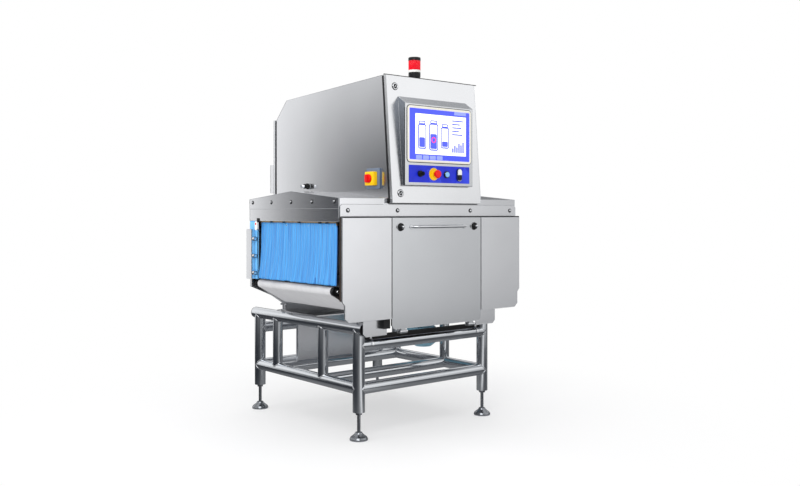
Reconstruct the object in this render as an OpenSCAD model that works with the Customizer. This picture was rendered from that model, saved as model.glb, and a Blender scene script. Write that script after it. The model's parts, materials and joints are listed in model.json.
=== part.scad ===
// Food x-ray inspection machine: a belt conveyor through a lead-lined tunnel on a tube stand,
// with an electrical cabinet on top. X runs along the conveyor, +Y is the rear, +Z is up.

/* [Stand] */
// Distance between the legs' axes along the conveyor
stand_len = 846; // [800:2:880]
// Distance between the legs' axes across the conveyor
stand_depth = 921; // [880:1:960]
// Outer diameter of the stand tubes
tube_od = 60.3; // [54:0.1:63.5]
// Wall of the stand tubes
tube_wall = 2; // [1.5:0.5:4]
// Outer diameter of the struts
strut_od = 54; // [42:1:56]
// Height of the crown of the upper side tubes
deck_z = 568.5; // [560:0.5:575]
// Height of the axes of the two upper cross tubes
cross_z = 458.6; // [440:0.1:470]
// Height of the axes of the lower tubes
low_z = 249; // [220:1:280]
// Height of the legs' lower ends
leg_z = 135; // [110:1:160]
// Length of the upper side tubes
side_tube_len = 1012; // [1000:2:1024]
// Place of the front struts from the stand's centre
strut_front_y = -158; // [-200:1:-120]
// Place of the rear struts from the stand's centre
strut_rear_y = 274; // [260:1:300]

/* [Feet] */
// Diameter of a foot pad
foot_d = 89; // [70:1:100]
// Height of a foot pad
foot_h = 38; // [30:1:45]
// Diameter of a foot spindle
spindle_d = 17; // [16:1:24]

/* [Conveyor] */
// Width of the belt
belt_w = 660; // [600:5:680]
// Height of the belt's carrying face
belt_z = 752; // [745:1:760]
// Place of the belt's centre line from the stand's centre
belt_y = -131; // [-140:1:-122]
// Thickness of the belt
belt_t = 2; // [1.5:0.5:3]
// Distance of a nose roller's axis inside the hood's end
nose_in = 26; // [20:1:40]
// Diameter of a nose roller
nose_d = 40; // [34:1:44]
// Diameter of the return roller
return_d = 46; // [40:1:54]
// Diameter of the drive drum
drum_d = 100; // [80:2:104]
// Height of the belt's returning face
return_z = 622; // [616:1:630]
// Thickness of the conveyor's side plates
side_plate_t = 6; // [4:1:8]
// Diameter of the roller shafts
shaft_d = 20; // [15:1:24]

/* [Tunnel] */
// Length of the hood
hood_len = 1200; // [1190:2:1220]
// Clear height over the belt
aperture_h = 310; // [290:2:330]
// Height of the hood from the opening to the eaves
hood_h = 113; // [104:1:125]
// Rise of the roof from the eaves to the ridge
roof_rise = 37; // [20:1:45]
// Thickness of the lead-lined walls
wall_t = 18; // [12:1:24]
// Clear width between the belt and the front wall
front_room = 80; // [76:1:90]
// Clear width between the belt and the rear wall
rear_room = 57; // [50:1:66]
// Thickness of folded sheet
sheet_t = 3; // [2:0.5:4]
// Height of the front rail
rail_h = 58; // [40:1:62]
// Thickness of the front rail
rail_t = 5; // [3:1:5]

/* [Front panels] */
// Half width of the drop-down door
door_hw = 303; // [280:1:320]
// Height of the door's lower edge
door_low = 537; // [534:1:544]
// Height of the panels' lower edge
panel_low = 590; // [584:1:596]
// Depth of the panels' folded edge
panel_fold = 9; // [6:1:12]
// Thickness of the seal behind the panels
seal_t = 3; // [2:0.5:4]
// Diameter of the door's bow handle
handle_d = 12; // [8:1:14]
// Half length of the bow handle
handle_hl = 187; // [120:1:200]
// Stand-off of the bow handle
handle_out = 32; // [24:1:40]

/* [Cabinet] */
// Half width of the cabinet
cab_hw = 303; // [290:1:320]
// Height of the cabinet's front above its foot
cab_h = 606; // [570:1:620]
// Lean of the cabinet's front from foot to top
cab_lean = 50; // [30:1:60]
// Depth of the cabinet at its foot
cab_depth = 1018; // [1000:1:1040]
// Depth of the cabinet door
cab_door_t = 25; // [18:1:30]
// Width of the control housing
hmi_w = 460; // [440:2:480]
// Height of the control housing's upright front
hmi_h = 404; // [390:1:420]
// Width of the touch screen's bezel
screen_w = 434; // [400:2:440]
// Height of the touch screen's bezel
screen_h = 278; // [250:1:284]
// Width of the button plate
buttons_w = 411; // [400:1:430]
// Height of the button plate
buttons_h = 86; // [76:1:92]
// Diameter of the beacon
beacon_d = 65; // [50:1:75]
// Height of the beacon above the cabinet
beacon_h = 140; // [120:1:160]

/* [Hidden] */
$fn = 48;

steel = "#C9CCD0";
dark = "#25272A";
blue = "#4AA0E8";

// Clearances
fit = 0.3;
weld_gap = 0.15;
run_fit = 0.05;
over = 5;
seam = 2;
skin_t = 2;
step = 1;

// Places across the machine
lx = stand_len / 2;
ly = stand_depth / 2;
tube_r = tube_od / 2;
top_z = deck_z - tube_r;
belt_front = belt_y - belt_w / 2;
belt_rear = belt_y + belt_w / 2;
front_in = belt_front - front_room;
front_out = front_in - wall_t;
rear_in = belt_rear + rear_room;
rear_out = rear_in + wall_t;
panel_back = front_out - seal_t;
panel_face = panel_back - panel_fold;

// Heights of the tunnel
hx = hood_len / 2;
roof_x = hx - sheet_t;
hood_low = belt_z + aperture_h;
eave_z = hood_low + hood_h;
ridge_z = eave_z + roof_rise;
panel_rise = 19;
panel_top = hood_low + panel_rise;
wall_low = panel_low + panel_fold;
wall_top = panel_top - step;
rail_low = panel_top + 3 * seam;
crease_share = 0.55;
crease_z = hood_low + hood_h * crease_share;
lip_h = 8;

// Floor pan
pan_t = 4;
pan_edge = 8;
pan_front_y = -110;
pan_top = deck_z + pan_t;

// Cabinet frame: the front plate's plane leans back about the foot of the cabinet
cab_y0 = front_in - seam;
cab_z0 = eave_z + step;
cab_tilt = atan(cab_lean / cab_h);
cab_y1 = cab_y0 + cab_lean;
cab_z1 = cab_z0 + cab_h;
cab_rear = cab_y0 + cab_depth + sheet_t;
cab_corner = 104;
cab_corner_h = 103;
cab_fall = 42;
cab_knee_z = cab_z1 - cab_fall;
cab_back_z = cab_knee_z - cab_corner_h;
cab_t = 3;
cab_floor = ridge_z + step;
cab_floor_t = 4;
cab_rim = 28;

// Control housing on the cabinet door
hmi_x = -2;
hmi_rise = 65;
hmi_low = cab_z0 + hmi_rise;
hmi_top = hmi_low + hmi_h;
hmi_slope = 35;
hmi_out = 13;
hmi_face = panel_face - hmi_out;
screen_gap = 11;
screen_mid_z = hmi_top - screen_gap - screen_h / 2;
buttons_gap = 14;
buttons_mid_z = hmi_low + buttons_gap + buttons_h / 2;
plate_t = 3;
plate_face = hmi_face - plate_t;
key_x = hmi_x - buttons_w / 3;
estop_x = hmi_x - buttons_w / 9;
reset_x = hmi_x + buttons_w / 10;
pair_x = hmi_x + buttons_w * 5 / 16;

// Front-most and rear-most faces set the middle of the bounding box
estop_out = 40;
cover_t = 40;
rear_seal_t = 19;
rear_door_t = 14;
front_most = plate_face - estop_out;
rear_most = cab_rear + rear_seal_t + rear_door_t + cover_t;
mid_y = (front_most + rear_most) / 2;

module in_place() translate([0, -mid_y, 0]) children();
module span(a, b) translate(a) cube(b - a);
module rod_x(x0, x1, y, z, d) translate([x0, y, z]) rotate([0, 90, 0]) cylinder(h = x1 - x0, d = d);
module rod_y(y0, y1, x, z, d) translate([x, y0, z]) rotate([-90, 0, 0]) cylinder(h = y1 - y0, d = d);
module rod_z(z0, z1, x, y, d) translate([x, y, z0]) cylinder(h = z1 - z0, d = d);
// A (y, z) outline carried along X, and an (x, z) outline carried along Y
module along_x(x0, x1) translate([x0, 0, 0]) rotate([90, 0, 90]) linear_extrude(x1 - x0) children();
module along_y(y0, y1) translate([0, y1, 0]) rotate([90, 0, 0]) linear_extrude(y1 - y0) children();
module both_x() {
    children();
    mirror([1, 0, 0]) children();
}
// A round bar between two points
module bar(a, b, d) {
    v = b - a;
    translate(a) rotate([0, acos(v[2] / norm(v)), atan2(v[1], v[0])]) cylinder(h = norm(v), d = d);
}

// Stand
tube_id = tube_od - 2 * tube_wall;
strut_ys = [strut_front_y, strut_rear_y];
module side_tube_cut(z) for (s = [-1, 1]) rod_y(-side_tube_len, side_tube_len, s * lx, z,
    tube_od + 2 * weld_gap);
module leg_cut() for (sx = [-1, 1], sy = [-1, 1]) rod_z(0, deck_z, sx * lx, sy * ly, tube_od + 2 * weld_gap);

module stand_uprights() color(steel) in_place() difference() {
    union() {
        for (sx = [-1, 1], sy = [-1, 1]) rod_z(leg_z, top_z, sx * lx, sy * ly, tube_od);
        for (sx = [-1, 1], y = strut_ys) rod_z(low_z, top_z, sx * lx, y, strut_od);
    }
    for (sx = [-1, 1], sy = [-1, 1]) rod_z(leg_z - over, deck_z, sx * lx, sy * ly, tube_id);
    for (sx = [-1, 1], y = strut_ys) rod_z(low_z - over, deck_z, sx * lx, y, strut_od - 2 * tube_wall);
    side_tube_cut(top_z);
    for (s = [-1, 1]) rod_y(-ly + tube_od, ly - tube_od, s * lx, low_z, tube_od + 2 * weld_gap);
}

module stand_side_tubes() color(steel) in_place() {
    for (s = [-1, 1]) difference() {
        rod_y(-side_tube_len / 2, side_tube_len / 2, s * lx, top_z, tube_od);
        rod_y(-side_tube_len, side_tube_len, s * lx, top_z, tube_id);
    }
    for (s = [-1, 1]) difference() {
        rod_y(-ly, ly, s * lx, low_z, tube_od);
        rod_y(-side_tube_len, side_tube_len, s * lx, low_z, tube_id);
        leg_cut();
    }
}

module stand_cross_tubes() color(steel) in_place() {
    for (y = [-ly, ly]) cross_tube(y, cross_z) leg_cut();
    for (y = [-ly, ly]) cross_tube(y, low_z) {
        leg_cut();
        for (s = [-1, 1]) rod_y(-ly, ly, s * lx, low_z, tube_od + 2 * weld_gap);
    }
    for (y = strut_ys) cross_tube(y, low_z) {
        side_tube_cut(low_z);
        for (s = [-1, 1]) rod_z(low_z, top_z, s * lx, y, strut_od + 2 * weld_gap);
    }
}
module cross_tube(y, z) difference() {
    rod_x(-lx, lx, y, z, tube_od);
    rod_x(-stand_len, stand_len, y, z, tube_id);
    children();
}

cap_t = 4;
cap_plug = 14;
module tube_end_caps() color(dark) in_place()
    for (sx = [-1, 1], sy = [-1, 1]) {
        end_y = sy * side_tube_len / 2;
        rod_y(min(end_y, end_y + sy * cap_t), max(end_y, end_y + sy * cap_t), sx * lx, top_z, tube_od);
        rod_y(min(end_y, end_y - sy * cap_plug), max(end_y, end_y - sy * cap_plug), sx * lx, top_z,
            tube_id - 2 * weld_gap);
    }

// Levelling feet: a bell pad, and a spindle with its lock nut and the plug it screws into
nut_af = 30;
nut_h = 12;
plug_h = 16;
hub_d = 34;
rim_h = 8;
socket_h = 14;
ball_d = 24;
module levelling_feet() color(steel) in_place()
    for (sx = [-1, 1], sy = [-1, 1]) translate([sx * lx, sy * ly, 0]) {
        difference() {
            foot_pad();
            translate([0, 0, foot_h - socket_h]) cylinder(h = socket_h + over, d = ball_d + 2 * fit);
        }
        translate([0, 0, foot_h - socket_h]) cylinder(h = socket_h, d = ball_d);
        translate([0, 0, foot_h]) cylinder(h = leg_z + plug_h - foot_h, d = spindle_d);
        translate([0, 0, leg_z - nut_h]) cylinder(h = nut_h, d = nut_af / cos(30), $fn = 6);
        translate([0, 0, leg_z]) cylinder(h = plug_h, d = tube_id - 2 * weld_gap);
    }
pad_shares = [[1, 0], [1, 0.2], [0.9, 0.42], [0.66, 0.62], [0.46, 0.82], [0.38, 1]];
module foot_pad() rotate_extrude() polygon(concat([[0, 0]],
    [for (p = pad_shares) [p[0] * foot_d / 2, p[1] * foot_h]], [[0, foot_h]]));

// Cushion strip on the front cross tube; the clips that hold it belong to the front brackets
strip_h = 16;
strip_w = 22;
strip_side = tube_r + sheet_t;
clip_w = 12;
clip_t = 3;
clip_in = 70;
clip_x = lx - clip_in;
strip_top_z = cross_z + tube_r + strip_h;
module rest_strip() color(dark) in_place() difference() {
    span([-lx + strip_side, -ly - strip_w / 2, cross_z], [lx - strip_side, -ly + strip_w / 2, strip_top_z]);
    rod_x(-lx, lx, -ly, cross_z, tube_od + 2 * weld_gap);
    both_x() clip_space();
}
module strip_clips() both_x() difference() {
    union() {
        rod_x(clip_x, clip_x + clip_w, -ly, cross_z, tube_od + 2 * clip_t);
        span([clip_x, -ly - strip_w / 2 - clip_t, cross_z], [clip_x + clip_w, -ly + strip_w / 2 + clip_t,
            strip_top_z + clip_t]);
    }
    rod_x(0, lx, -ly, cross_z, tube_od + 2 * weld_gap);
    span([0, -ly - tube_od, cross_z - tube_od], [lx, -ly + tube_od, cross_z]);
}
module clip_space() span([clip_x - fit, -ly - tube_r, cross_z], [clip_x + clip_w + fit, -ly + tube_r, deck_z]);

module floor_pan() color(steel) in_place() {
    pan_sheet();
    shaft_hanger();
}
module pan_sheet() difference() {
    span([-lx - pan_edge, pan_front_y, deck_z], [lx + pan_edge, rear_out, pan_top]);
    span([motor_x - belt_slot_side, pulley_y - belt_slot_side / 4, deck_z - over], [drum_x, rear_in - seam,
        pan_top + over]);
}
hanger_plate_t = 8;
module shaft_hanger() difference() {
    span([motor_x - drum_pulley_d / 2, hanger_y, shaft_z - drum_pulley_d / 2], [motor_x + drum_pulley_d / 2,
        hanger_y + hanger_plate_t, deck_z]);
    rod_y(hanger_y - over, hanger_y + hanger_plate_t + over, motor_x, shaft_z, shaft_d + 2 * run_fit);
}

// Brackets under the front wall: the skirts that stand on the side tubes, and the door's hinges
skirt_in = door_hw + sheet_t;
skirt_side = 27;
skirt_out = lx + skirt_side;
skirt_h = 61;
skirt_low = deck_z - skirt_h;
skirt_lap = 40;
skirt_top = wall_low + skirt_lap;
skirt_t = 3;
skirt_gap = 10;
skirt_y = front_in + skirt_gap;
skirt_cut = 15;
foot_w = 30;
foot_l = 34;
foot_t = 6;
hinge_share = 0.765;
hinge_x = door_hw * hinge_share;
hinge_y = panel_face + skin_t;
hinge_drop = 15;
hinge_z = door_low - hinge_drop;
knuckle_d = 16;
pin_d = 8;
lug_w = 30;
cheek_w = 8;
arm_t = 8;
module front_brackets() color(steel) in_place() {
    both_x() {
        along_y(skirt_y, skirt_y + skirt_t) polygon([[skirt_in, skirt_top], [skirt_in, skirt_low],
            [skirt_out - skirt_cut, skirt_low], [skirt_out, skirt_low + skirt_cut], [skirt_out, skirt_top]]);
        span([skirt_in, front_in, wall_low], [skirt_out, skirt_y, skirt_top]);
        span([lx - foot_w, skirt_y + skirt_t, deck_z], [skirt_out, skirt_y + skirt_t + foot_l,
            deck_z + foot_t]);
    }
    for (s = [-1, 1]) translate([s * hinge_x, 0, 0]) hinge_bracket();
    strip_clips();
}
cheek_x = lug_w / 2 + fit;
module hinge_bracket() {
    span([-cheek_x - cheek_w, front_out, hinge_z - knuckle_d / 2], [cheek_x + cheek_w, front_out + arm_t,
        wall_low]);
    for (s = [-1, 1]) translate([s * (cheek_x + cheek_w / 2), 0, 0]) {
        rod_x(-cheek_w / 2, cheek_w / 2, hinge_y, hinge_z, knuckle_d);
        span([-cheek_w / 2, hinge_y, hinge_z - knuckle_d / 2], [cheek_w / 2, front_out + arm_t,
            hinge_z + knuckle_d / 4]);
    }
    rod_x(-cheek_x - cheek_w, cheek_x + cheek_w, hinge_y, hinge_z, pin_d);
}

// Lead-lined walls
open_lap = 18;
open_hw = door_hw - open_lap;
open_low = skirt_top;
step_in = 15;
step_drop = 63;
step_h = 19;
step_x = hx - step_in;
step2_x = step_x - step_h - seam;
step_hi = belt_z - step_drop;
step_lo = step_hi - step_h;
stud_d = 10;
stud_in = 6;
knob_base_d = 40;
knob_share = 0.83;
knob_x = door_hw * knob_share;
knob_drop = 46;
knob_z = panel_top - knob_drop;
open_top = knob_z - knob_base_d / 2 - 2 * seam;
module front_wall() color("#4A4038") in_place() difference() {
    along_y(front_out, front_in) polygon([[-roof_x, wall_top], [-roof_x, step_hi], [-step2_x, step_hi],
        [-step2_x, wall_low], [step2_x, wall_low], [step2_x, step_hi], [roof_x, step_hi], [roof_x, wall_top]]);
    span([-open_hw, front_out - over, open_low], [open_hw, front_in + over, open_top]);
    for (s = [-1, 1]) rod_y(front_out - over, front_out + stud_in + seam, s * knob_x, knob_z,
        stud_d + 2 * seam);
}
// The rear wall narrows below the belt, where the conveyor's sides slope in to the stand
wall_foot_x = lx - tube_r;
wall_lap = 38;
module rear_wall() color(steel) in_place() {
    along_y(rear_in, rear_out) polygon([[-roof_x, hood_low - lip_h], [-roof_x, nose_z - nose_r],
        [-wall_foot_x, deck_z + strut_od],
        [-wall_foot_x, pan_top], [wall_foot_x, pan_top], [wall_foot_x, deck_z + strut_od], [roof_x,
            nose_z - nose_r],
        [roof_x, hood_low - lip_h]]);
    span([-roof_x, rear_in, hood_low - lip_h], [roof_x, rear_out - sheet_t - fit, hood_low + wall_lap]);
}
module rear_lower_panel() color(steel) in_place() difference() {
    span([-cab_hw, rear_in, low_z + tube_r + fit], [cab_hw, rear_out, deck_z]);
    span([-cab_hw + sheet_t, rear_in - over, low_z], [cab_hw - sheet_t, rear_out - sheet_t, deck_z - sheet_t]);
}

// Hood: a gabled roof with front and rear lips, closed by an end plate at each mouth
slot_w = 32;
slot_l = 200;
module tunnel_roof() color(steel) in_place() difference() {
    along_x(-roof_x, roof_x) polygon([[front_in, hood_low], [front_in, eave_z], [belt_y, ridge_z],
        [rear_out, eave_z], [rear_out, hood_low - lip_h], [rear_out - sheet_t, hood_low - lip_h],
        [rear_out - sheet_t, eave_z - sheet_t], [belt_y, ridge_z - sheet_t],
        [front_in + sheet_t, eave_z - sheet_t], [front_in + sheet_t, hood_low]]);
    span([-slot_w / 2, belt_y - slot_l / 2, hood_low], [slot_w / 2, belt_y + slot_l / 2, ridge_z + over]);
    rail_holes();
}
end_gap = 5;
bolt_d = 8;
bolt_head_d = 14;
bolt_head_h = 5;
end_bolt_pitch = belt_w * 0.282;
end_bolt_drop = 17;
end_bolt_z = eave_z - end_bolt_drop;
end_bolt_ys = [for (k = [-2:2]) belt_y + k * end_bolt_pitch];
rail_bolt_xs = [hx * 0.92, hx * 0.415];
rail_bolt_z = rail_low + rail_h / 2;
module end_plates() color(steel) in_place() both_x() difference() {
    union() {
        along_x(roof_x, hx) polygon([[front_in + end_gap, crease_z], [front_in + end_gap, eave_z - step],
            [belt_y, ridge_z],
            [rear_out, eave_z], [rear_out, crease_z]]);
        span([roof_x, front_in + end_gap, hood_low], [hx - step, rear_out, crease_z]);
    }
    for (y = end_bolt_ys) rod_x(0, hx + over, y, end_bolt_z, bolt_d + 2 * weld_gap);
}
module rail_holes() for (x = rail_bolt_xs, s = [-1, 1])
    rod_y(front_in - rail_t - over, front_in + sheet_t + over, s * x, rail_bolt_z, bolt_d + 2 * weld_gap);
module front_rail() color(steel) in_place() difference() {
    along_y(front_in - rail_t, front_in) polygon([[-roof_x, rail_low], [roof_x, rail_low],
        [roof_x, rail_low + rail_h * 0.8], [roof_x - rail_h * 0.2, rail_low + rail_h],
        [-roof_x + rail_h * 0.2, rail_low + rail_h], [-roof_x, rail_low + rail_h * 0.8]]);
    rail_holes();
}
module housing_bolts() color(dark) in_place() {
    for (s = [-1, 1], x = rail_bolt_xs) translate([s * x, front_in - rail_t, rail_bolt_z]) rotate([90, 0,
        0]) bolt();
    both_x() for (y = end_bolt_ys) translate([hx, y, end_bolt_z]) rotate([0, 90, 0]) bolt();
}
module bolt() {
    cylinder(h = bolt_head_h, d = bolt_head_d);
    translate([0, 0, -sheet_t]) cylinder(h = sheet_t, d = bolt_d);
}

// Front panels: shallow trays with a stepped outer lower corner
panel_in = door_hw + seam;
panel_out = hx + step;
module panel_outline(i) polygon([[panel_in + i, panel_top - i], [panel_out - i, panel_top - i],
    [panel_out - i, step_hi + i / 2], [step_x + step - i, step_lo + i / 2], [step_x + step - i,
        panel_low + step_h + i / 2],
    [step2_x + step - i / 2, panel_low + i], [panel_in + i, panel_low + i]]);
module front_panels() color(steel) in_place() both_x() difference() {
    along_y(panel_face, panel_back) panel_outline(0);
    along_y(panel_face + skin_t, panel_back + over) panel_outline(skin_t);
}
gasket_w = 14;
gasket_low = step_hi + 3 * seam;
module panel_gaskets() color(dark) in_place() {
    both_x() difference() {
        span([panel_in, panel_back, gasket_low], [roof_x, front_out, wall_top]);
        span([panel_in + gasket_w, panel_back - over, gasket_low + gasket_w],
            [roof_x - gasket_w, front_out + over, wall_top - gasket_w]);
    }
    difference() {
        span([-door_hw, panel_back + fit, wall_low], [door_hw, front_out, wall_top]);
        span([-open_hw, panel_back - over, open_low], [open_hw, front_out + over, open_top]);
        for (s = [-1, 1]) rod_y(panel_back - over, front_out + over, s * knob_x, knob_z, stud_d + over);
    }
}

// Drop-down door with its bow handle and two turning knobs
door_cut = 18;
module door_outline(i) polygon([[-door_hw + i, panel_top - i], [-door_hw + i, door_low + door_cut + i / 2],
    [-door_hw + door_cut + i / 2, door_low + i], [door_hw - door_cut - i / 2, door_low + i],
    [door_hw - i, door_low + door_cut + i / 2], [door_hw - i, panel_top - i]]);
knob_bore = stud_d + 2 * fit;
module access_door() color(steel) in_place() {
    difference() {
        union() {
            difference() {
                along_y(panel_face, panel_back) door_outline(0);
                along_y(panel_face + skin_t, panel_back + over) door_outline(skin_t);
            }
            for (s = [-1, 1]) translate([s * hinge_x, 0, 0]) {
                rod_x(-lug_w / 2, lug_w / 2, hinge_y, hinge_z, knuckle_d - 2 * fit);
                span([-lug_w / 2, panel_face, hinge_z], [lug_w / 2, panel_back, door_low]);
            }
        }
        for (s = [-1, 1]) rod_x(s * hinge_x - lug_w, s * hinge_x + lug_w, hinge_y, hinge_z,
            pin_d + 2 * run_fit);
        for (s = [-1, 1]) rod_y(panel_face - over, panel_back + over, s * knob_x, knob_z, knob_bore);
    }
    bow_handle();
}
handle_z = knob_z;
bow_run = 30;
bow_foot_d = 22;
bow_foot_t = 4;
bow_bead = 1;
module bow_handle() {
    bar_y = panel_face - handle_out;
    bend_x = handle_hl - bow_run;
    foot_x = handle_hl - handle_d / 2;
    rod_x(-bend_x, bend_x, bar_y, handle_z, handle_d);
    for (s = [-1, 1]) {
        translate([s * bend_x, bar_y, handle_z]) sphere(d = handle_d + bow_bead);
        bar([s * bend_x, bar_y, handle_z], [s * foot_x, panel_face - bow_foot_t + step, handle_z], handle_d);
        rod_y(panel_face - bow_foot_t, panel_face, s * foot_x, handle_z, bow_foot_d);
    }
}
knob_tip_d = 16;
knob_h = 30;
knob_rim_h = 4;
knob_grip_t = 8;
module turn_knob(s) color(dark) in_place() translate([s * knob_x, panel_face, knob_z]) rotate([90, 0, 0]) {
    translate([0, 0, fit]) cylinder(h = knob_rim_h, d = knob_base_d);
    translate([0, 0, knob_rim_h]) cylinder(h = knob_h * 2 / 3, d1 = knob_base_d, d2 = knob_tip_d);
    span([-knob_grip_t / 2, -knob_base_d / 2, fit], [knob_grip_t / 2, knob_base_d / 2, knob_h * 3 / 4]);
    cylinder(h = knob_h, d = knob_tip_d - seam);
    translate([0, 0, -panel_fold - seal_t - stud_in]) cylinder(h = panel_fold + seal_t + stud_in + fit,
        d = stud_d);
}
module access_knob_left() turn_knob(-1);
module access_knob_right() turn_knob(1);

// Strip curtains on pivoting rods, carried by hangers under the hood's ends
rod_d = 8;
rod_x_in = 18;
rod_drop = 10;
rod_z_c = hood_low - rod_drop;
curtain_x = roof_x - rod_x_in;
curtain_side = 38;
curtain_y0 = front_in + curtain_side;
curtain_y1 = belt_rear - 2 * curtain_side / 3;
hanger_t = 6;
hanger_hw = 10;
lip_t = 3;
lip_in = 5;
module curtain_hangers() color("#C8B08A") in_place() both_x() {
    difference() {
        union() {
            span([curtain_x - 1.5 * hanger_hw, curtain_y0 - hanger_t, hood_low], [roof_x, curtain_y1 + hanger_t,
                hood_low + sheet_t]);
            span([roof_x - lip_in, curtain_y0 - hanger_t, hood_low - lip_h + step], [roof_x - lip_in + lip_t,
                curtain_y1 + hanger_t, hood_low]);
            for (y = [curtain_y0 - hanger_t, curtain_y1])
                span([curtain_x - hanger_hw, y, rod_z_c - rod_d], [curtain_x + hanger_hw, y + hanger_t,
                    hood_low]);
        }
        rod_y(curtain_y0 - 2 * over - hanger_t, curtain_y1 + 2 * over, curtain_x, rod_z_c, rod_d + 2 * run_fit);
    }
}
strip_n = 20;
strip_t = 3;
strip_lap = 4;
strip_bend = 24;
strip_shift = strip_bend / 5;
strip_back = strip_t + fit;
strip_top = rod_z_c - rod_d / 2 - seam;
strip_gap = 5;
strip_low_z = belt_z + strip_gap;
bend_steps = 8;
// A strip hangs straight, then curls outwards with the cube of the way down
function curl(t, x) = x + strip_bend * t * t * t;
module strip_profile(x) polygon(concat(
    [for (k = [0:bend_steps]) [curl(k / bend_steps, x), strip_top - (strip_top - strip_low_z)
        * k / bend_steps]],
    [for (k = [bend_steps:-1:0]) [curl(k / bend_steps, x) + strip_t,
        strip_top - (strip_top - strip_low_z) * k / bend_steps]]));
clamp_h = 16;
module curtain() in_place() {
    pitch = (curtain_y1 - curtain_y0 - 2 * fit) / strip_n;
    rod_y(curtain_y0 - hanger_t, curtain_y1 + hanger_t, curtain_x, rod_z_c, rod_d);
    span([curtain_x - rod_d / 4, curtain_y0 + step, strip_top - clamp_h], [curtain_x + rod_d / 4,
        curtain_y1 - step, rod_z_c]);
    span([curtain_x - 2 * strip_shift - step, curtain_y0 + step, strip_top - clamp_h], [curtain_x,
        curtain_y1 - step, strip_top]);
    for (k = [0:strip_n - 1]) {
        back = k % 2 == 0 ? 0 : -strip_back;
        y0 = curtain_y0 + fit + k * pitch;
        along_y(max(y0 - strip_lap / 2, curtain_y0 + fit), min(y0 + pitch + strip_lap / 2, curtain_y1 - fit))
            strip_profile(curtain_x - strip_shift + back);
    }
}
module outfeed_curtain() color(blue) curtain();
module infeed_curtain() color(blue) mirror([1, 0, 0]) curtain();

// Fixed flap beside each curtain, its clamp bar and the clamp's screws
flap_y = curtain_y1 + hanger_t + seam;
clamp_bar_w = 52;
bar_y0 = rear_out - clamp_bar_w;
bar_out = 20;
bar_short = 45;
module side_flaps() color(blue) in_place() both_x()
    span([roof_x, flap_y, belt_z + step], [hx, rear_out, hood_low - step]);
clamp_low = 34;
clamp_pitch = 90;
clamp_zs = [for (k = [0, 1, 2]) belt_z + clamp_low + k * clamp_pitch];
clamp_screw_d = 8;
clamp_screw_in = 10;
clamp_knob_d = 22;
clamp_knob_h = 16;
clamp_knob_gap = 12;
clamp_x = hx + clamp_knob_d / 2 + step;
module flap_clamps() color(steel) in_place() both_x() {
    difference() {
        span([hx, bar_y0, belt_z], [hx + bar_out, rear_out, hood_low - bar_short]);
        for (z = clamp_zs) rod_y(bar_y0 - over, bar_y0 + clamp_screw_in, clamp_x, z,
            clamp_screw_d + 2 * weld_gap);
    }
    for (z = clamp_zs) {
        rod_y(bar_y0 - clamp_knob_h, bar_y0 + clamp_screw_in, clamp_x, z, clamp_screw_d);
        rod_y(bar_y0 - clamp_knob_gap - clamp_knob_h, bar_y0 - clamp_knob_gap, clamp_x, z, clamp_knob_d);
    }
}

// Light barriers at both mouths, and the door's safety switch
eye_w = 22;
eye_h = 46;
eye_t = 12;
eye_plate_t = 2;
eye_lap = 14;
switch_w = 40;
switch_h = 48;
module light_barrier(y) {
    span([hx - step, y, hood_low], [hx + eye_plate_t, y + eye_w, hood_low + eye_lap]);
    span([hx + fit, y, hood_low - eye_h], [hx + eye_plate_t, y + eye_w, hood_low]);
    span([hx + eye_plate_t, y, hood_low - eye_h], [hx + eye_plate_t + eye_t, y + eye_w, hood_low - sheet_t]);
}
module sensors() color(dark) in_place() {
    both_x() light_barrier(curtain_y1 + step);
    span([-skirt_in - switch_w, front_out, wall_low - panel_fold - switch_h], [-skirt_in, skirt_y,
        wall_low - panel_fold]);
}

// Conveyor: side plates, slider bed and cross bars, on four mounts
nose_x = hx - nose_in;
nose_r = nose_d / 2;
nose_z = belt_z - belt_t - nose_r;
drum_in = 23;
drum_x = lx - drum_in;
drum_z = return_z + belt_t + drum_d / 2;
return_x = lx - sheet_t;
return_roller_z = return_z + belt_t + return_d / 2;
plate_gap = 6;
plate_front = belt_front - plate_gap;
plate_rear = belt_rear + plate_gap;
frame_under = 10;
frame_low = return_z - frame_under;
bed_t = 5;
bar_d = 25;
bar_gap = 39;
bar_x = drum_x - drum_d / 2 - bar_gap - bar_d / 2;
mount_d = 44;
mount_waist_d = 22;
// Right half of the side plate, each point a share of the nose roller's radius from its axis
nose_shares = [[-0.6, 0.9], [0.4, 0.6], [0.6, 0.2], [0.6, -0.6], [0.2, -1.1]];
foot_over = 8;
function nose_end(s) = [for (p = nose_shares) [s * (nose_x + p[0] * nose_r), nose_z + p[1] * nose_r]];
module side_outline() polygon(concat(nose_end(1), [[lx + foot_over, frame_low], [-lx - foot_over, frame_low]],
    [for (k = [4:-1:0]) nose_end(-1)[k]]));
roller_places = [[-nose_x, nose_z], [nose_x, nose_z], [-return_x, return_roller_z], [drum_x, drum_z]];
module conveyor_frame() color(steel) in_place() {
    for (y = [plate_front - side_plate_t, plate_rear]) difference() {
        along_y(y, y + side_plate_t) side_outline();
        for (p = roller_places) rod_y(y - over, y + side_plate_t + over, p[0], p[1], shaft_d + 2 * fit);
    }
    difference() {
        span([-nose_x + nose_d, plate_front, belt_z - belt_t - fit - bed_t], [nose_x - nose_d, plate_rear,
            belt_z - belt_t - fit]);
        span([-slot_w / 2, belt_front + over, belt_z - belt_t - 2 * bed_t], [slot_w / 2,
            belt_rear - over, belt_z]);
    }
    for (s = [-1, 1]) rod_y(plate_front, plate_rear, s * bar_x,
        nose_z - nose_r - bar_d / 2, bar_d);
    for (s = [-1, 1]) {
        translate([s * lx, plate_front - side_plate_t / 2, deck_z]) mount(frame_low - deck_z);
        translate([s * lx, plate_rear + side_plate_t / 2, pan_top]) mount(frame_low - pan_top);
    }
}
mount_flange = 7;
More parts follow.
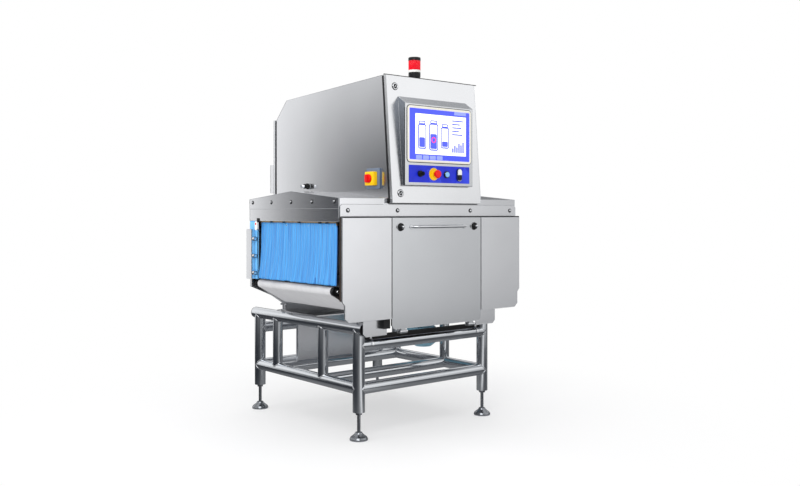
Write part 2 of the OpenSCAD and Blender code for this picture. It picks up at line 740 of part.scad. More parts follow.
module mount(h) {
    cylinder(h = mount_flange, d = mount_d);
    cylinder(h = h, d = mount_waist_d);
    translate([0, 0, h - mount_flange]) cylinder(h = mount_flange, d = mount_d);
}
module belt_loop(extra) hull() {
    for (s = [-1, 1]) translate([s * nose_x, nose_z]) circle(r = nose_r + extra, $fn = 64);
    translate([-return_x, return_roller_z]) circle(r = return_d / 2 + extra, $fn = 64);
    translate([drum_x, drum_z]) circle(r = drum_d / 2 + extra, $fn = 64);
}
module conveyor_belt() color("#E6E6E6") in_place() along_y(belt_front, belt_rear) difference() {
    belt_loop(belt_t);
    belt_loop(fit);
}

// Rollers turn in housings on the side plates' outer faces
housing_t = 12;
housing_d = 46;
shaft_y0 = plate_front - side_plate_t - housing_t;
shaft_y1 = plate_rear + side_plate_t + housing_t;
roller_in = 3;
module roller(x, z, d) color(steel) in_place() {
    rod_y(belt_front + roller_in, belt_rear - roller_in, x, z, d);
    rod_y(shaft_y0, shaft_y1, x, z, shaft_d);
}
module infeed_nose_roller() roller(-nose_x, nose_z, nose_d);
module outfeed_nose_roller() roller(nose_x, nose_z, nose_d);
module return_roller() roller(-return_x, return_roller_z, return_d);
pulley_w = 20;
belt_slot_side = 12;
pulley_y = shaft_y1 + sheet_t;
hanger_y = pulley_y - 1.3 * pulley_w;
drum_pulley_d = 70;
motor_pulley_d = 50;
module drive_drum() {
    roller(drum_x, drum_z, drum_d);
    color(steel) in_place() rod_y(shaft_y1, pulley_y, drum_x, drum_z, shaft_d);
    color(dark) in_place() rod_y(pulley_y, pulley_y + pulley_w, drum_x, drum_z, drum_pulley_d);
}
module roller_bearings() color(dark) in_place() for (p = roller_places, y = [shaft_y0,
    plate_rear + side_plate_t])
    difference() {
        rod_y(y, y + housing_t, p[0], p[1], housing_d);
        rod_y(y - over, y + housing_t + over, p[0], p[1], shaft_d + 2 * run_fit);
    }

// Drive: an upright motor, a right-angle gearbox and a toothed belt to the drum
motor_in = 111;
motor_back = 31;
motor_drop = 222;
motor_x = lx - motor_in;
motor_y = belt_y + motor_back;
motor_d = 145;
motor_low = deck_z - motor_drop;
gear_drop = 62;
gear_z = deck_z - gear_drop;
gear_w = 92;
gear_h = 104;
motor_bowl = 22;
fin_n = 24;
fin_h = 4;
fin_t = 3;
fin_gap = 1;
flange_t = 8;
motor_top = gear_z - gear_h / 2 - flange_t;
shaft_z = gear_z;
box_out = 26;
box_w = 60;
box_h = 62;
box_rise = 50;
boss_l = 20;
module gear_motor() color("#5E8798") in_place() {
    translate([motor_x, motor_y, 0]) {
        translate([0, 0, motor_low]) cylinder(h = motor_bowl, d1 = motor_d * 0.62, d2 = motor_d);
        translate([0, 0, motor_low + motor_bowl]) cylinder(h = motor_top - motor_low - motor_bowl,
            d = motor_d - 2 * fin_h);
        for (k = [0:fin_n - 1]) rotate([0, 0, k * 360 / fin_n])
            translate([motor_d / 2 - 2 * fin_h, -fin_t / 2, motor_low + motor_bowl + fin_gap])
                cube([2 * fin_h - fin_gap, fin_t, motor_top - motor_low - motor_bowl - 2 * fin_gap]);
        translate([0, 0, motor_top]) cylinder(h = flange_t, d = motor_d);
        span([-motor_d / 2 - box_out, -box_w / 2, motor_low + box_rise], [-motor_d / 2 + 3 * fin_h, box_w / 2,
            motor_low + box_rise + box_h]);
    }
    difference() {
        union() {
            span([motor_x - gear_w / 2, motor_y - gear_w / 2, motor_top + flange_t], [motor_x + gear_w / 2,
                motor_y + gear_w / 2, gear_z + gear_h / 2]);
            rod_y(motor_y + gear_w / 2, motor_y + gear_w / 2 + boss_l, motor_x, shaft_z, gear_w * 0.7);
        }
        rod_y(motor_y, motor_y + gear_w, motor_x, shaft_z, shaft_d + 2 * run_fit);
    }
    span([motor_x - gear_w / 2, motor_y, gear_z + gear_h / 2], [motor_x + gear_w / 2,
        motor_y + gear_w / 2, deck_z]);
}
module drive_pulley() color(steel) in_place() {
    rod_y(motor_y + shaft_d / 4, pulley_y + pulley_w, motor_x, shaft_z, shaft_d);
    rod_y(pulley_y, pulley_y + pulley_w, motor_x, shaft_z, motor_pulley_d);
}
tooth_t = 4;
tooth_side = 2;
module pulley_loop(extra) hull() {
    translate([motor_x, shaft_z]) circle(d = motor_pulley_d + 2 * extra, $fn = 64);
    translate([drum_x, drum_z]) circle(d = drum_pulley_d + 2 * extra, $fn = 64);
}
module toothed_belt() color(dark) in_place() along_y(pulley_y + tooth_side,
    pulley_y + pulley_w - tooth_side) difference() {
    pulley_loop(fit + tooth_t);
    pulley_loop(fit);
}

// Detector between the belt's runs, carried by the side plates
det_hw = 52;
det_rise = 12;
det_slot = 30;
module line_detector() color(dark) in_place() {
    det_top = belt_z - belt_t - fit - bed_t;
    difference() {
        span([-det_hw, plate_front, return_z + det_rise], [det_hw, plate_rear, det_top]);
        span([-slot_w / 4, belt_front + over, det_top - det_slot], [slot_w / 4, belt_rear - over, belt_z]);
    }
}

// Cabinet
module cab_outline() polygon([[cab_y0, cab_z0], [cab_y1, cab_z1], [cab_rear - cab_corner, cab_knee_z],
    [cab_rear, cab_back_z], [cab_rear, cab_z0], [rear_out, cab_z0], [rear_out, eave_z], [belt_y,
        ridge_z], [front_in, eave_z]]);
module cab_inside() polygon([[cab_y0 + 2 * cab_t + step, cab_floor + cab_floor_t],
    [cab_y1 + cab_t, cab_z1 - cab_t], [cab_rear - cab_corner - step, cab_knee_z - cab_t],
    [cab_rear - cab_t, cab_back_z - step], [cab_rear - cab_t, cab_floor + cab_floor_t]]);
module on_front() translate([0, cab_y0, cab_z0]) rotate([-cab_tilt, 0, 0]) children();
front_opening = 56;
rear_rise = 14;
rear_door_low = cab_z0 + rear_rise;
module cabinet_shell() color(steel) in_place() difference() {
    along_x(-cab_hw, cab_hw) cab_outline();
    along_x(-cab_hw + cab_t, cab_hw - cab_t) cab_inside();
    span([-cab_hw + cab_t, cab_y0 + 3 * cab_t, cab_z0 - over], [cab_hw - cab_t, cab_rear - cab_t, cab_floor]);
    on_front() span([-cab_hw + cab_rim, -over, front_opening], [cab_hw - cab_rim, cab_rim, cab_h - cab_rim]);
    span([-cab_hw + cab_rim, cab_rear - cab_rim, cab_floor + cab_rim], [cab_hw - cab_rim, cab_rear + over,
        cab_back_z - cab_rim]);
    span([-slot_w / 2, belt_y - slot_l / 2, cab_z0], [slot_w / 2, belt_y + slot_l / 2,
        cab_floor + cab_floor_t + over]);
}
seal_w = 14;
seal_in = 6;
seal_low = front_opening - seal_w - sheet_t;
door_seal_t = 3;
module cabinet_seals() color(dark) in_place() {
    on_front() difference() {
        seal_block(seal_in, -door_seal_t + fit, -step / 10, seal_low, cab_h - seal_in);
        seal_block(seal_in + seal_w, -door_seal_t - over, over, seal_low + seal_w, cab_h - seal_in - seal_w);
    }
    difference() {
        seal_block(seal_in, cab_rear, cab_rear + rear_seal_t - fit, rear_door_low + seal_in,
            cab_back_z - seal_in);
        seal_block(seal_in + seal_w, cab_rear - over, cab_rear + rear_seal_t + over,
            rear_door_low + seal_in + seal_w,
            cab_back_z - seal_in - seal_w);
    }
}
module seal_block(side, y0, y1, z0, z1) span([-cab_hw + side, y0, z0], [cab_hw - side, y1, z1]);

// Lift-off hinges: the lower knuckle and its pin are fixed, the upper knuckle is the door's
pivot_out = 7.5;
knuckle_od = 13;
hinge_pin_d = 7;
knuckle_h = 30;
door_hinge_zs = [cab_h * 0.12, cab_h * 0.86];
rear_hinge_zs = [rear_door_low + 2 * knuckle_h, cab_back_z - 3 * knuckle_h];
pivot_x = cab_hw + pivot_out - step;
leaf_t = 3;
leaf_l = 34;
rear_pivot_y = cab_rear + rear_seal_t;
stub_d = 25;
stub_l = 48;
module fixed_knuckle(back) {
    cylinder(h = knuckle_h, d = knuckle_od);
    cylinder(h = 2 * knuckle_h - seam, d = hinge_pin_d);
    span([-pivot_out + step, 0, 0], [-pivot_out + step + leaf_t, back, knuckle_h]);
    span([-pivot_out + step, seam, 0], [0, knuckle_od / 2 + leaf_t, knuckle_h]);
}
module door_knuckle(reach) difference() {
    union() {
        cylinder(h = knuckle_h, d = knuckle_od);
        span([-pivot_out, -reach, 0], [0, 0, knuckle_h]);
    }
    translate([0, 0, -over]) cylinder(h = knuckle_h + 2 * over, d = hinge_pin_d + 2 * run_fit);
}
module cabinet_fittings() color(steel) in_place() {
    on_front() for (z = door_hinge_zs) translate([pivot_x, -door_seal_t, z]) fixed_knuckle(leaf_l);
    for (z = rear_hinge_zs) translate([pivot_x, rear_pivot_y, z]) mirror([0, 1, 0])
        fixed_knuckle(leaf_l + rear_seal_t);
}
gland_front = 121;
gland_rise = 73;
gland_y = rear_out - gland_front;
gland_z = cab_z0 + gland_rise;
gland_nut_t = 10;
gland_nut_d = 33;
module door_gland() color(steel) in_place() {
    rod_x(-cab_hw - stub_l, -cab_hw, gland_y, gland_z, stub_d);
    rod_x(-cab_hw - gland_nut_t, -cab_hw, gland_y, gland_z, gland_nut_d);
}

door_z0 = -26;
door_z1 = cab_h + seam;
door_face = -door_seal_t - cab_door_t;
knuckle_reach = 10;
lock_in = 54;
lock_x = -cab_hw + lock_in;
lock_d = 28;
lock_body_d = 22;
lock_head_t = 4;
lock_body_l = 16;
lock_slot_l = 12;
lock_slot_w = 3;
lock_zs = [door_z0 + lock_in - 3 * seam, door_z1 - lock_in - seam];
module cabinet_door() color(steel) in_place() on_front() {
    difference() {
        span([-cab_hw + step, door_face, door_z0], [cab_hw - step, -door_seal_t, door_z1]);
        span([-cab_hw + step + skin_t, door_face + skin_t, door_z0 + skin_t], [cab_hw - step - skin_t, over,
            door_z1 - skin_t]);
        for (z = lock_zs) translate([lock_x, 0, z]) rotate([90, 0, 0]) cylinder(h = 2 * cab_door_t,
            d = lock_body_d + 2 * fit);
    }
    for (z = door_hinge_zs) translate([pivot_x, -door_seal_t, z + knuckle_h + step])
        door_knuckle(knuckle_reach);
}
module quarter_lock(z) color(steel) in_place() on_front() translate([lock_x, door_face, z]) rotate([90,
    0, 0]) difference() {
    union() {
        translate([0, 0, fit]) cylinder(h = lock_head_t, d = lock_d);
        translate([0, 0, -lock_body_l]) cylinder(h = lock_body_l + lock_head_t, d = lock_body_d);
    }
    span([-lock_slot_l / 2, -lock_slot_w / 2, step], [lock_slot_l / 2, lock_slot_w / 2, lock_head_t + over]);
}
module door_lock_bottom() quarter_lock(lock_zs[0]);
module door_lock_top() quarter_lock(lock_zs[1]);

// Control housing: an upright front on the leaning door, with a sloped top
function face_y(z) = cab_y0 + (door_face - run_fit) / cos(cab_tilt) + (z - cab_z0) * tan(cab_tilt);
hmi_hw = hmi_w / 2;
module hmi_housing() color(steel) in_place() difference() {
    along_x(hmi_x - hmi_hw, hmi_x + hmi_hw) polygon([[hmi_face, hmi_low], [hmi_face, hmi_top],
        [face_y(hmi_top + hmi_slope), hmi_top + hmi_slope], [face_y(hmi_low), hmi_low]]);
    along_x(hmi_x - hmi_hw + skin_t, hmi_x + hmi_hw - skin_t) polygon([[hmi_face + skin_t, hmi_low + skin_t],
        [hmi_face + skin_t, hmi_top - skin_t], [face_y(hmi_top + hmi_slope), hmi_top + hmi_slope - 2 * skin_t],
        [face_y(hmi_top) + over, hmi_top], [face_y(hmi_low + skin_t) + over, hmi_low + skin_t]]);
}
bezel_t = 5;
glass_in = 11;
glass_t = 3;
module touch_screen() color("#E9E6DC") in_place() {
    z0 = screen_mid_z - screen_h / 2;
    z1 = screen_mid_z + screen_h / 2;
    difference() {
        span([hmi_x - screen_w / 2, hmi_face - bezel_t, z0], [hmi_x + screen_w / 2, hmi_face, z1]);
        span([hmi_x - screen_w / 2 + glass_in, hmi_face - bezel_t - over, z0 + glass_in],
            [hmi_x + screen_w / 2 - glass_in, hmi_face + over, z1 - glass_in]);
    }
    color("#4450E8") span([hmi_x - screen_w / 2 + glass_in, hmi_face - glass_t, z0 + glass_in],
        [hmi_x + screen_w / 2 - glass_in, hmi_face, z1 - glass_in]);
}
collar_h = 8;
collar_w = 4;
button_d = 26;
button_out = 13;
press_gap = 5;
key_d = 20;
key_collar_h = 12;
estop_disc_d = 62;
estop_disc_t = 4;
estop_stem_d = 22;
estop_collar_h = 18;
estop_head_d = 42;
pair_w = 24;
pair_h = 57;
// Things on the button plate stand on its face, out along -Y
module on_plate(x) translate([x, plate_face, buttons_mid_z]) rotate([90, 0, 0]) children();
module collar(d, h) difference() {
    cylinder(h = h, d = d + 2 * collar_w);
    translate([0, 0, -step]) cylinder(h = h + over, d = d + 2 * fit);
}
module pair_shape(w, h) {
    square([w, h - w], center = true);
    for (s = [-1, 1]) translate([0, s * (h - w) / 2]) circle(d = w);
}
module button_plate() color("#2A6FC0") in_place() {
    span([hmi_x - buttons_w / 2, plate_face, buttons_mid_z - buttons_h / 2], [hmi_x + buttons_w / 2, hmi_face,
        buttons_mid_z + buttons_h / 2]);
    color(dark) on_plate(key_x) collar(key_d, key_collar_h);
    color(dark) on_plate(reset_x) collar(button_d, collar_h);
    color("#F5B800") on_plate(estop_x) {
        collar(estop_stem_d, estop_collar_h);
        difference() {
            cylinder(h = estop_disc_t, d = estop_disc_d);
            translate([0, 0, -step]) cylinder(h = estop_disc_t + over, d = estop_stem_d + 2 * fit);
        }
    }
    color(dark) on_plate(pair_x) linear_extrude(collar_h) difference() {
        pair_shape(pair_w + 2 * collar_w, pair_h + 2 * collar_w);
        pair_shape(pair_w + 2 * fit, pair_h + 2 * fit);
    }
}
key_blade = 3;
key_bow = 22;
key_len = 22;
key_top = key_collar_h + 3 * step;
module key_switch() color(dark) in_place() on_plate(key_x) {
    translate([0, 0, fit]) cylinder(h = key_top, d = key_d);
    span([-key_blade / 2, -key_bow / 2, key_top], [key_blade / 2, key_bow / 2, key_top + key_len]);
}
estop_bevel = 4;
estop_ring_t = 6;
module estop_head() color("#E02018") in_place() on_plate(estop_x) {
    head_low = press_gap + estop_collar_h;
    translate([0, 0, press_gap]) cylinder(h = estop_collar_h, d = estop_stem_d);
    translate([0, 0, head_low]) cylinder(h = estop_ring_t, d1 = estop_head_d - 2 * estop_bevel,
        d2 = estop_head_d);
    translate([0, 0, head_low + estop_ring_t]) cylinder(h = estop_ring_t, d = estop_head_d);
    translate([0, 0, head_low + 2 * estop_ring_t]) cylinder(h = estop_out - head_low - 2 * estop_ring_t,
        d1 = estop_head_d, d2 = estop_head_d - 2 * estop_bevel);
}
module reset_button() color("#8FC8F0") in_place() on_plate(reset_x)
    translate([0, 0, press_gap]) cylinder(h = button_out - press_gap, d = button_d);
module pair_button(s) in_place() on_plate(pair_x) translate([0, 0, press_gap])
    linear_extrude(button_out - press_gap)
    intersection() {
        pair_shape(pair_w, pair_h);
        translate([0, s * (pair_h / 4 + fit)]) square([pair_w, pair_h / 2], center = true);
    }
module start_button() color("#F2F2F0") pair_button(1);
module stop_button() color(dark) pair_button(-1);

// Main isolator on the cabinet's infeed side
iso_back = 113;
iso_rise = 98;
iso_y = cab_y0 + iso_back;
iso_z = cab_z0 + iso_rise;
iso_w = 104;
iso_back_t = 10;
iso_body_w = 69;
iso_body_t = 25;
iso_shaft_d = 14;
iso_knob_d = 44;
iso_knob_t = 24;
module on_isolator() translate([-cab_hw, iso_y, iso_z]) rotate([0, -90, 0]) children();
module isolator_body() color("#F5B800") in_place() on_isolator() difference() {
    union() {
        span([-iso_w / 2, -iso_w / 2, 0], [iso_w / 2, iso_w / 2, iso_back_t]);
        span([-iso_body_w / 2, -iso_body_w / 2, 0], [iso_body_w / 2, iso_body_w / 2, iso_back_t + iso_body_t]);
    }
    translate([0, 0, iso_back_t]) cylinder(h = iso_body_t + over, d = iso_shaft_d + 2 * run_fit);
}
module isolator_knob() color("#D01810") in_place() on_isolator() translate([0, 0, iso_back_t]) {
    translate([0, 0, seam]) cylinder(h = iso_body_t, d = iso_shaft_d);
    translate([0, 0, iso_body_t + fit]) cylinder(h = iso_knob_t / 2, d = iso_knob_d);
    span([-iso_knob_d / 2 + seam, -iso_shaft_d / 2, iso_body_t + iso_knob_t / 2], [iso_knob_d / 2 - seam,
        iso_shaft_d / 2,
        iso_body_t + iso_knob_t]);
}

// Beacon on the cabinet's sloping top
beacon_back = 108;
beacon_y = cab_y1 + beacon_back;
top_fall_share = (cab_z1 - cab_knee_z) / (cab_rear - cab_corner - cab_y1);
beacon_z = cab_z1 - beacon_back * top_fall_share;
beacon_sink = 10;
beacon_top = beacon_z + beacon_h;
lens_low = beacon_z + beacon_h * 0.525;
lens_high = beacon_z + beacon_h * 0.87;
module beacon_base() color(dark) in_place() {
    difference() {
        translate([0, beacon_y, beacon_z - beacon_sink]) {
            cylinder(h = beacon_sink + beacon_h * 0.455, d = beacon_d);
            translate([0, 0, beacon_sink + beacon_h * 0.455]) cylinder(h = beacon_h * 0.07,
                d = beacon_d - seam);
        }
        along_x(-beacon_d, beacon_d) cab_outline();
    }
    translate([0, beacon_y, lens_high]) cylinder(h = beacon_top - lens_high, d = beacon_d);
}
module beacon_lens() color("#D8102A") in_place() translate([0, beacon_y, lens_low])
    cylinder(h = lens_high - lens_low, d = beacon_d - step);

// Rear door with its cover, hinged on the outfeed side
cover_rise = 29;
cover_low = rear_door_low + cover_rise;
cover_h = 162;
louvre_n = 7;
louvre_h = 6;
module rear_door() color(steel) in_place() {
    difference() {
        span([-cab_hw + step, rear_pivot_y, rear_door_low], [cab_hw - step, rear_pivot_y + rear_door_t,
            cab_back_z]);
        span([-cab_hw + step + skin_t, rear_pivot_y - over, rear_door_low + skin_t], [cab_hw - step - skin_t,
            rear_pivot_y + rear_door_t - skin_t, cab_back_z - skin_t]);
    }
    for (z = rear_hinge_zs) translate([pivot_x, rear_pivot_y, z + knuckle_h + step])
        mirror([0, 1, 0]) door_knuckle(knuckle_reach);
}
module rear_cover() color(steel) in_place() difference() {
    cover_y = rear_pivot_y + rear_door_t;
    cover_hw = cab_hw - sheet_t;
    span([-cover_hw, cover_y, cover_low], [cover_hw, cover_y + cover_t, cover_low + cover_h]);
    span([-cover_hw + skin_t, cover_y - over, cover_low + skin_t], [cover_hw - skin_t,
        cover_y + cover_t - skin_t,
        cover_low + cover_h - skin_t]);
    for (k = [1:louvre_n]) translate([0, 0, cover_low + k * cover_h / (louvre_n + 1)])
        span([-cab_hw * 0.7, cover_y + cover_t - over, -louvre_h / 2], [cab_hw * 0.7, cover_y + cover_t + over,
            louvre_h / 2]);
}

// X-ray source with its fan collimator through the roof's slot, and the control gear behind it
source_hw = 150;
source_l = 400;
source_h = 200;
beam_t = 5;
beam_rise = 30;
module xray_source() color("#8A8F94") in_place() {
    z0 = cab_floor + cab_floor_t;
    span([-source_hw, belt_y - source_l / 2, z0], [source_hw, belt_y + source_l / 2, z0 + source_h]);
    difference() {
        beam_block(step, hood_low + beam_rise, z0);
        beam_block(step + beam_t, hood_low, z0 - beam_t);
    }
}
module beam_block(i, z0, z1) span([-slot_w / 2 + i, belt_y - slot_l / 2 + i, z0], [slot_w / 2 - i,
    belt_y + slot_l / 2 - i, z1]);
gear_back = 60;
drive_t = 90;
computer_t = 110;
terminal_t = 60;
terminal_h = 50;
terminal_pitch = 85;
drive_top = 380;
gear_plate_y = rear_out + gear_back;
module control_unit() color("#8A8F94") in_place() {
    z0 = cab_floor + cab_floor_t;
    span([-cab_hw * 0.8, gear_plate_y, z0], [cab_hw * 0.8, gear_plate_y + sheet_t, cab_back_z]);
    span([-cab_hw * 0.7, gear_plate_y - drive_t, z0 + 4 * terminal_h], [-cab_hw * 0.1, gear_plate_y,
        z0 + drive_top]);
    span([cab_hw * 0.1, gear_plate_y - computer_t, z0 + 4 * terminal_h], [cab_hw * 0.6, gear_plate_y,
        z0 + drive_top]);
    for (k = [0, 1]) span([-cab_hw * 0.7, gear_plate_y - terminal_t, z0 + k * terminal_pitch + terminal_h],
        [cab_hw * 0.7, gear_plate_y, z0 + k * terminal_pitch + 2 * terminal_h]);
}

stand_uprights();
stand_side_tubes();
stand_cross_tubes();
tube_end_caps();
levelling_feet();
rest_strip();
floor_pan();
front_brackets();
front_wall();
rear_wall();
rear_lower_panel();
tunnel_roof();
end_plates();
front_rail();
front_panels();
panel_gaskets();
housing_bolts();
curtain_hangers();
infeed_curtain();
outfeed_curtain();
side_flaps();
flap_clamps();
sensors();
access_door();
access_knob_left();
access_knob_right();
conveyor_frame();
conveyor_belt();
infeed_nose_roller();
outfeed_nose_roller();
return_roller();
drive_drum();
roller_bearings();
gear_motor();
drive_pulley();
toothed_belt();
line_detector();
cabinet_shell();
cabinet_seals();
cabinet_fittings();
cabinet_door();
door_lock_top();
door_lock_bottom();
hmi_housing();
touch_screen();
button_plate();
key_switch();
estop_head();
reset_button();
start_button();
stop_button();
isolator_body();
isolator_knob();
beacon_base();
beacon_lens();
rear_door();
rear_cover();
xray_source();
control_unit();
door_gland();
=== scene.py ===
"""Looks of a food x-ray inspection machine: brushed and polished stainless, blue lead-rubber strips,
a white belt, a lit touch screen and coloured switches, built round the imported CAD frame."""
import json
import math

import bmesh
import bpy
import numpy as np
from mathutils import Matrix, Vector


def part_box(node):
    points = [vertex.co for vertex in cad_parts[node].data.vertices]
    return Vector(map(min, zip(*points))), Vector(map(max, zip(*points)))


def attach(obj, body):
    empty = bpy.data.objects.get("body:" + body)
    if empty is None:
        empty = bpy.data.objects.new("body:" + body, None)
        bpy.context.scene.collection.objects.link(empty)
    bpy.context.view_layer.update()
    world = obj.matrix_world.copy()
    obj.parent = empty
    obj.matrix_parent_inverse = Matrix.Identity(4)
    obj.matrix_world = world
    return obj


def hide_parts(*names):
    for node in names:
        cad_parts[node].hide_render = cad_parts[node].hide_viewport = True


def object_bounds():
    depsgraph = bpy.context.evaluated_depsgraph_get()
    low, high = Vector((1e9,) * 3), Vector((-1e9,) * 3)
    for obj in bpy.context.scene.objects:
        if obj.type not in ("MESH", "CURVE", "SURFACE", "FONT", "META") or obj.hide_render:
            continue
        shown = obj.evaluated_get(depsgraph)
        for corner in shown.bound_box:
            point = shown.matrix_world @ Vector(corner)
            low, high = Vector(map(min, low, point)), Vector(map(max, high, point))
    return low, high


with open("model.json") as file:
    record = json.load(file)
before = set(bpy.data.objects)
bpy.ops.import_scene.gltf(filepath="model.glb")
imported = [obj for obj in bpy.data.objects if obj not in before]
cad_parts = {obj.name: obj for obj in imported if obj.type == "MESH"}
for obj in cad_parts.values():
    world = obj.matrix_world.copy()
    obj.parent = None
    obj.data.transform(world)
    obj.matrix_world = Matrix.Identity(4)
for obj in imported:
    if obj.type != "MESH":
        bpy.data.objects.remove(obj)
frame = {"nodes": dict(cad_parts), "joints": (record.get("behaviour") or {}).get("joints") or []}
cad_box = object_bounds()
NODES = frame["nodes"]
JOINTS = {j["name"]: j for j in frame["joints"]}
MM = 0.001


# ---- shader nodes

def linear(hex_colour, alpha=1.0):
    """An sRGB hex value as the linear colour that a shader socket takes."""
    s = np.array([int(hex_colour[i:i + 2], 16) for i in (1, 3, 5)]) / 255
    return (*np.where(s <= 0.04045, s / 12.92, ((s + 0.055) / 1.055) ** 2.4).tolist(), alpha)


def add(tree, kind, inputs=None, **settings):
    """Adds one shader node with its settings; an input is a value, or the output that feeds it."""
    made = tree.nodes.new(kind)
    for key, value in settings.items():
        setattr(made, key, value)
    for key, value in (inputs or {}).items():
        if isinstance(value, bpy.types.NodeSocket):
            tree.links.new(value, made.inputs[key])
        else:
            made.inputs[key].default_value = value
    return made


def put(name, data):
    """A new object in the scene."""
    made = bpy.data.objects.new(name, data)
    bpy.context.scene.collection.objects.link(made)
    return made


class Look:
    """A material: its surface shader's constants, and the few nodes that vary it over Object coordinates."""

    def __init__(self, name, colour, metallic, roughness, **sockets):
        """Sets the shader's sockets; their names have _ for a space."""
        self.made = bpy.data.materials.new(name)
        self.made.use_nodes = True
        self.tree = self.made.node_tree
        self.shader = self.tree.nodes["Principled BSDF"]
        sockets.update(Base_Color=linear(colour), Metallic=metallic, Roughness=roughness)
        for key, value in sockets.items():
            self.shader.inputs[key.replace("_", " ")].default_value = value

    def grain(self, size_mm, detail=2.0, seed=0.0):
        """Noise whose spots have that size in millimetres, in all or along X, Y and Z."""
        place = add(self.tree, "ShaderNodeTexCoord").outputs["Object"]
        scale = (1 / (np.broadcast_to(size_mm, 3) * MM)).tolist()
        moved = add(self.tree, "ShaderNodeMapping", {"Vector": place, "Location": (seed,) * 3, "Scale": scale})
        return add(self.tree, "ShaderNodeTexNoise", {"Vector": moved.outputs["Vector"], "Scale": 1.0,
                                                     "Detail": detail}).outputs["Fac"]

    def level(self, value, low, high, start=0.3, end=0.7):
        """value from start to end as a number from low to high."""
        return add(self.tree, "ShaderNodeMapRange", {"Value": value, "From Min": start, "From Max": end,
                                                     "To Min": low, "To Max": high}).outputs["Result"]

    def rough(self, value, low, high):
        """Roughness goes from low to high with value."""
        self.tree.links.new(self.level(value, low, high), self.shader.inputs["Roughness"])
        return self

    def tint(self, value, colour_a, colour_b):
        """The colour goes from one to the other with value."""
        mix = add(self.tree, "ShaderNodeMix", {0: value, 6: linear(colour_a), 7: linear(colour_b)},
                  data_type="RGBA")
        self.tree.links.new(mix.outputs[2], self.shader.inputs["Base Color"])
        return self

    def clouds(self, size_mm, deep, light, seed=0.0):
        """Slow clouds of that size between two close colours."""
        return self.tint(self.level(self.grain(size_mm, 2.0, seed), 0.0, 1.0), deep, light)

    def relief(self, height, depth_mm):
        """Height as bumps of that depth."""
        bump = add(self.tree, "ShaderNodeBump", {"Height": height, "Distance": depth_mm * MM, "Strength": 1.0})
        self.tree.links.new(bump.outputs["Normal"], self.shader.inputs["Normal"])
        return self


def brushed_stainless(name, along, light="#E6E7EA", deep="#E2E3E6", low=0.255, high=0.265):
    """Stainless sheet brushed along one axis: fine lines, drawn 1 mm wide because the real 0.1 mm is unseen,
    and slow clouds that come from rolling and wiping."""
    look = Look(name, light, 1.0, 0.3)
    size = [1.0, 1.0, 1.0]
    size["XYZ".index(along)] = 90.0
    look.rough(look.grain(size, 3.0), low, high)
    return look.clouds(220.0, deep, light, 5.0).made


def housing_stainless_with_flank_shade(name):
    """The operator housing's steel: as the sheets, but with painted shade on the two flanks: darker where the
    object's own normal points along X."""
    look = Look(name, "#DADCDF", 1.0, 0.14)
    normal = add(look.tree, "ShaderNodeTexCoord").outputs["Normal"]
    parts = add(look.tree, "ShaderNodeSeparateXYZ", {"Vector": normal})
    flank_shade = add(look.tree, "ShaderNodeMath", {0: parts.outputs["X"]}, operation="ABSOLUTE").outputs[0]
    # painted shade: the flanks, facing along X, are darkened towards #71767D
    look.tint(look.level(flank_shade, 0.0, 1.0, 0.45, 0.85), "#DADCDF", "#71767D")
    return look.rough(look.grain((90.0, 8.0, 8.0)), 0.11, 0.16).made


def polished_stainless(name, colour="#CDD0D4", low=0.07, high=0.16):
    """Polished stainless bar and tube: near mirror, with faint buffing marks 8 mm wide."""
    look = Look(name, colour, 1.0, 0.12)
    return look.rough(look.grain((8.0, 8.0, 30.0), 3.0), low, high).made


def cast_metal(name, colour, low=0.3, high=0.45):
    """Cast or turned steel and aluminium: satin, with spots of 2 mm from casting and turning."""
    look = Look(name, colour, 0.9, 0.35)
    spots = look.grain(2.0, 3.0)
    return look.rough(spots, low, high).relief(spots, 0.05).made


def moulded(name, colour, deep, roughness=0.42, size_mm=1.5, depth_mm=0.03, ior=1.5):
    """Moulded plastic: an even colour with slight flow marks, and spark-eroded grain that blurs the light."""
    look = Look(name, colour, 0.0, roughness, IOR=ior, Specular_IOR_Level=0.28)
    spots = look.grain(size_mm)
    look.rough(spots, roughness - 0.06, roughness + 0.06)
    return look.clouds(60.0, deep, colour, 3.0).relief(spots, depth_mm).made


def lead_rubber(name, colour, deep, roughness=0.45, edges=False):
    """Calendered lead rubber: soft sheen, faint draw lines 12 mm wide, and with edges painted shade: a deeper
    colour beside each lapped strip edge, by the edge attribute.
    """
    look = Look(name, colour, 0.0, roughness, IOR=1.52, Sheen_Weight=0.15)
    lines = look.level(look.grain((40.0, 6.0, 300.0), 3.0), 0.0, 0.55 if edges else 1.0, 0.35, 0.65)
    if edges:
        # painted shade: the edge attribute deepens the colour beside each lap
        edge = add(look.tree, "ShaderNodeAttribute", attribute_name="edge").outputs["Fac"]
        lines = add(look.tree, "ShaderNodeMath", {0: lines, 1: edge}, operation="MAXIMUM").outputs[0]
    return look.tint(lines, colour, deep).relief(look.grain((5.0, 5.0, 60.0), 2.0, 2.0), 0.15).made


def enamel(name, colour, deep):
    """Sprayed machine enamel: glossy, with orange peel of 3 mm."""
    look = Look(name, colour, 0.0, 0.35, IOR=1.5, Coat_Weight=0.3, Coat_Roughness=0.2)
    return look.clouds(50.0, deep, colour).relief(look.grain(3.0, 1.0), 0.06).made


def woven_belt(name):
    """White polyurethane on woven polyester: a satin face with a weave of 2 mm threads, drawn as soft bumps."""
    look = Look(name, "#C8C8CB", 0.0, 0.5, IOR=1.5)
    place = add(look.tree, "ShaderNodeTexCoord").outputs["Object"]
    threads = add(look.tree, "ShaderNodeTexVoronoi", {"Vector": place, "Scale": 1 / (2.0 * MM), "Randomness": 0.15})
    return look.relief(threads.outputs["Distance"], 0.012).clouds((90.0, 30.0, 90.0), "#C4C4C7", "#CCCCCE").made


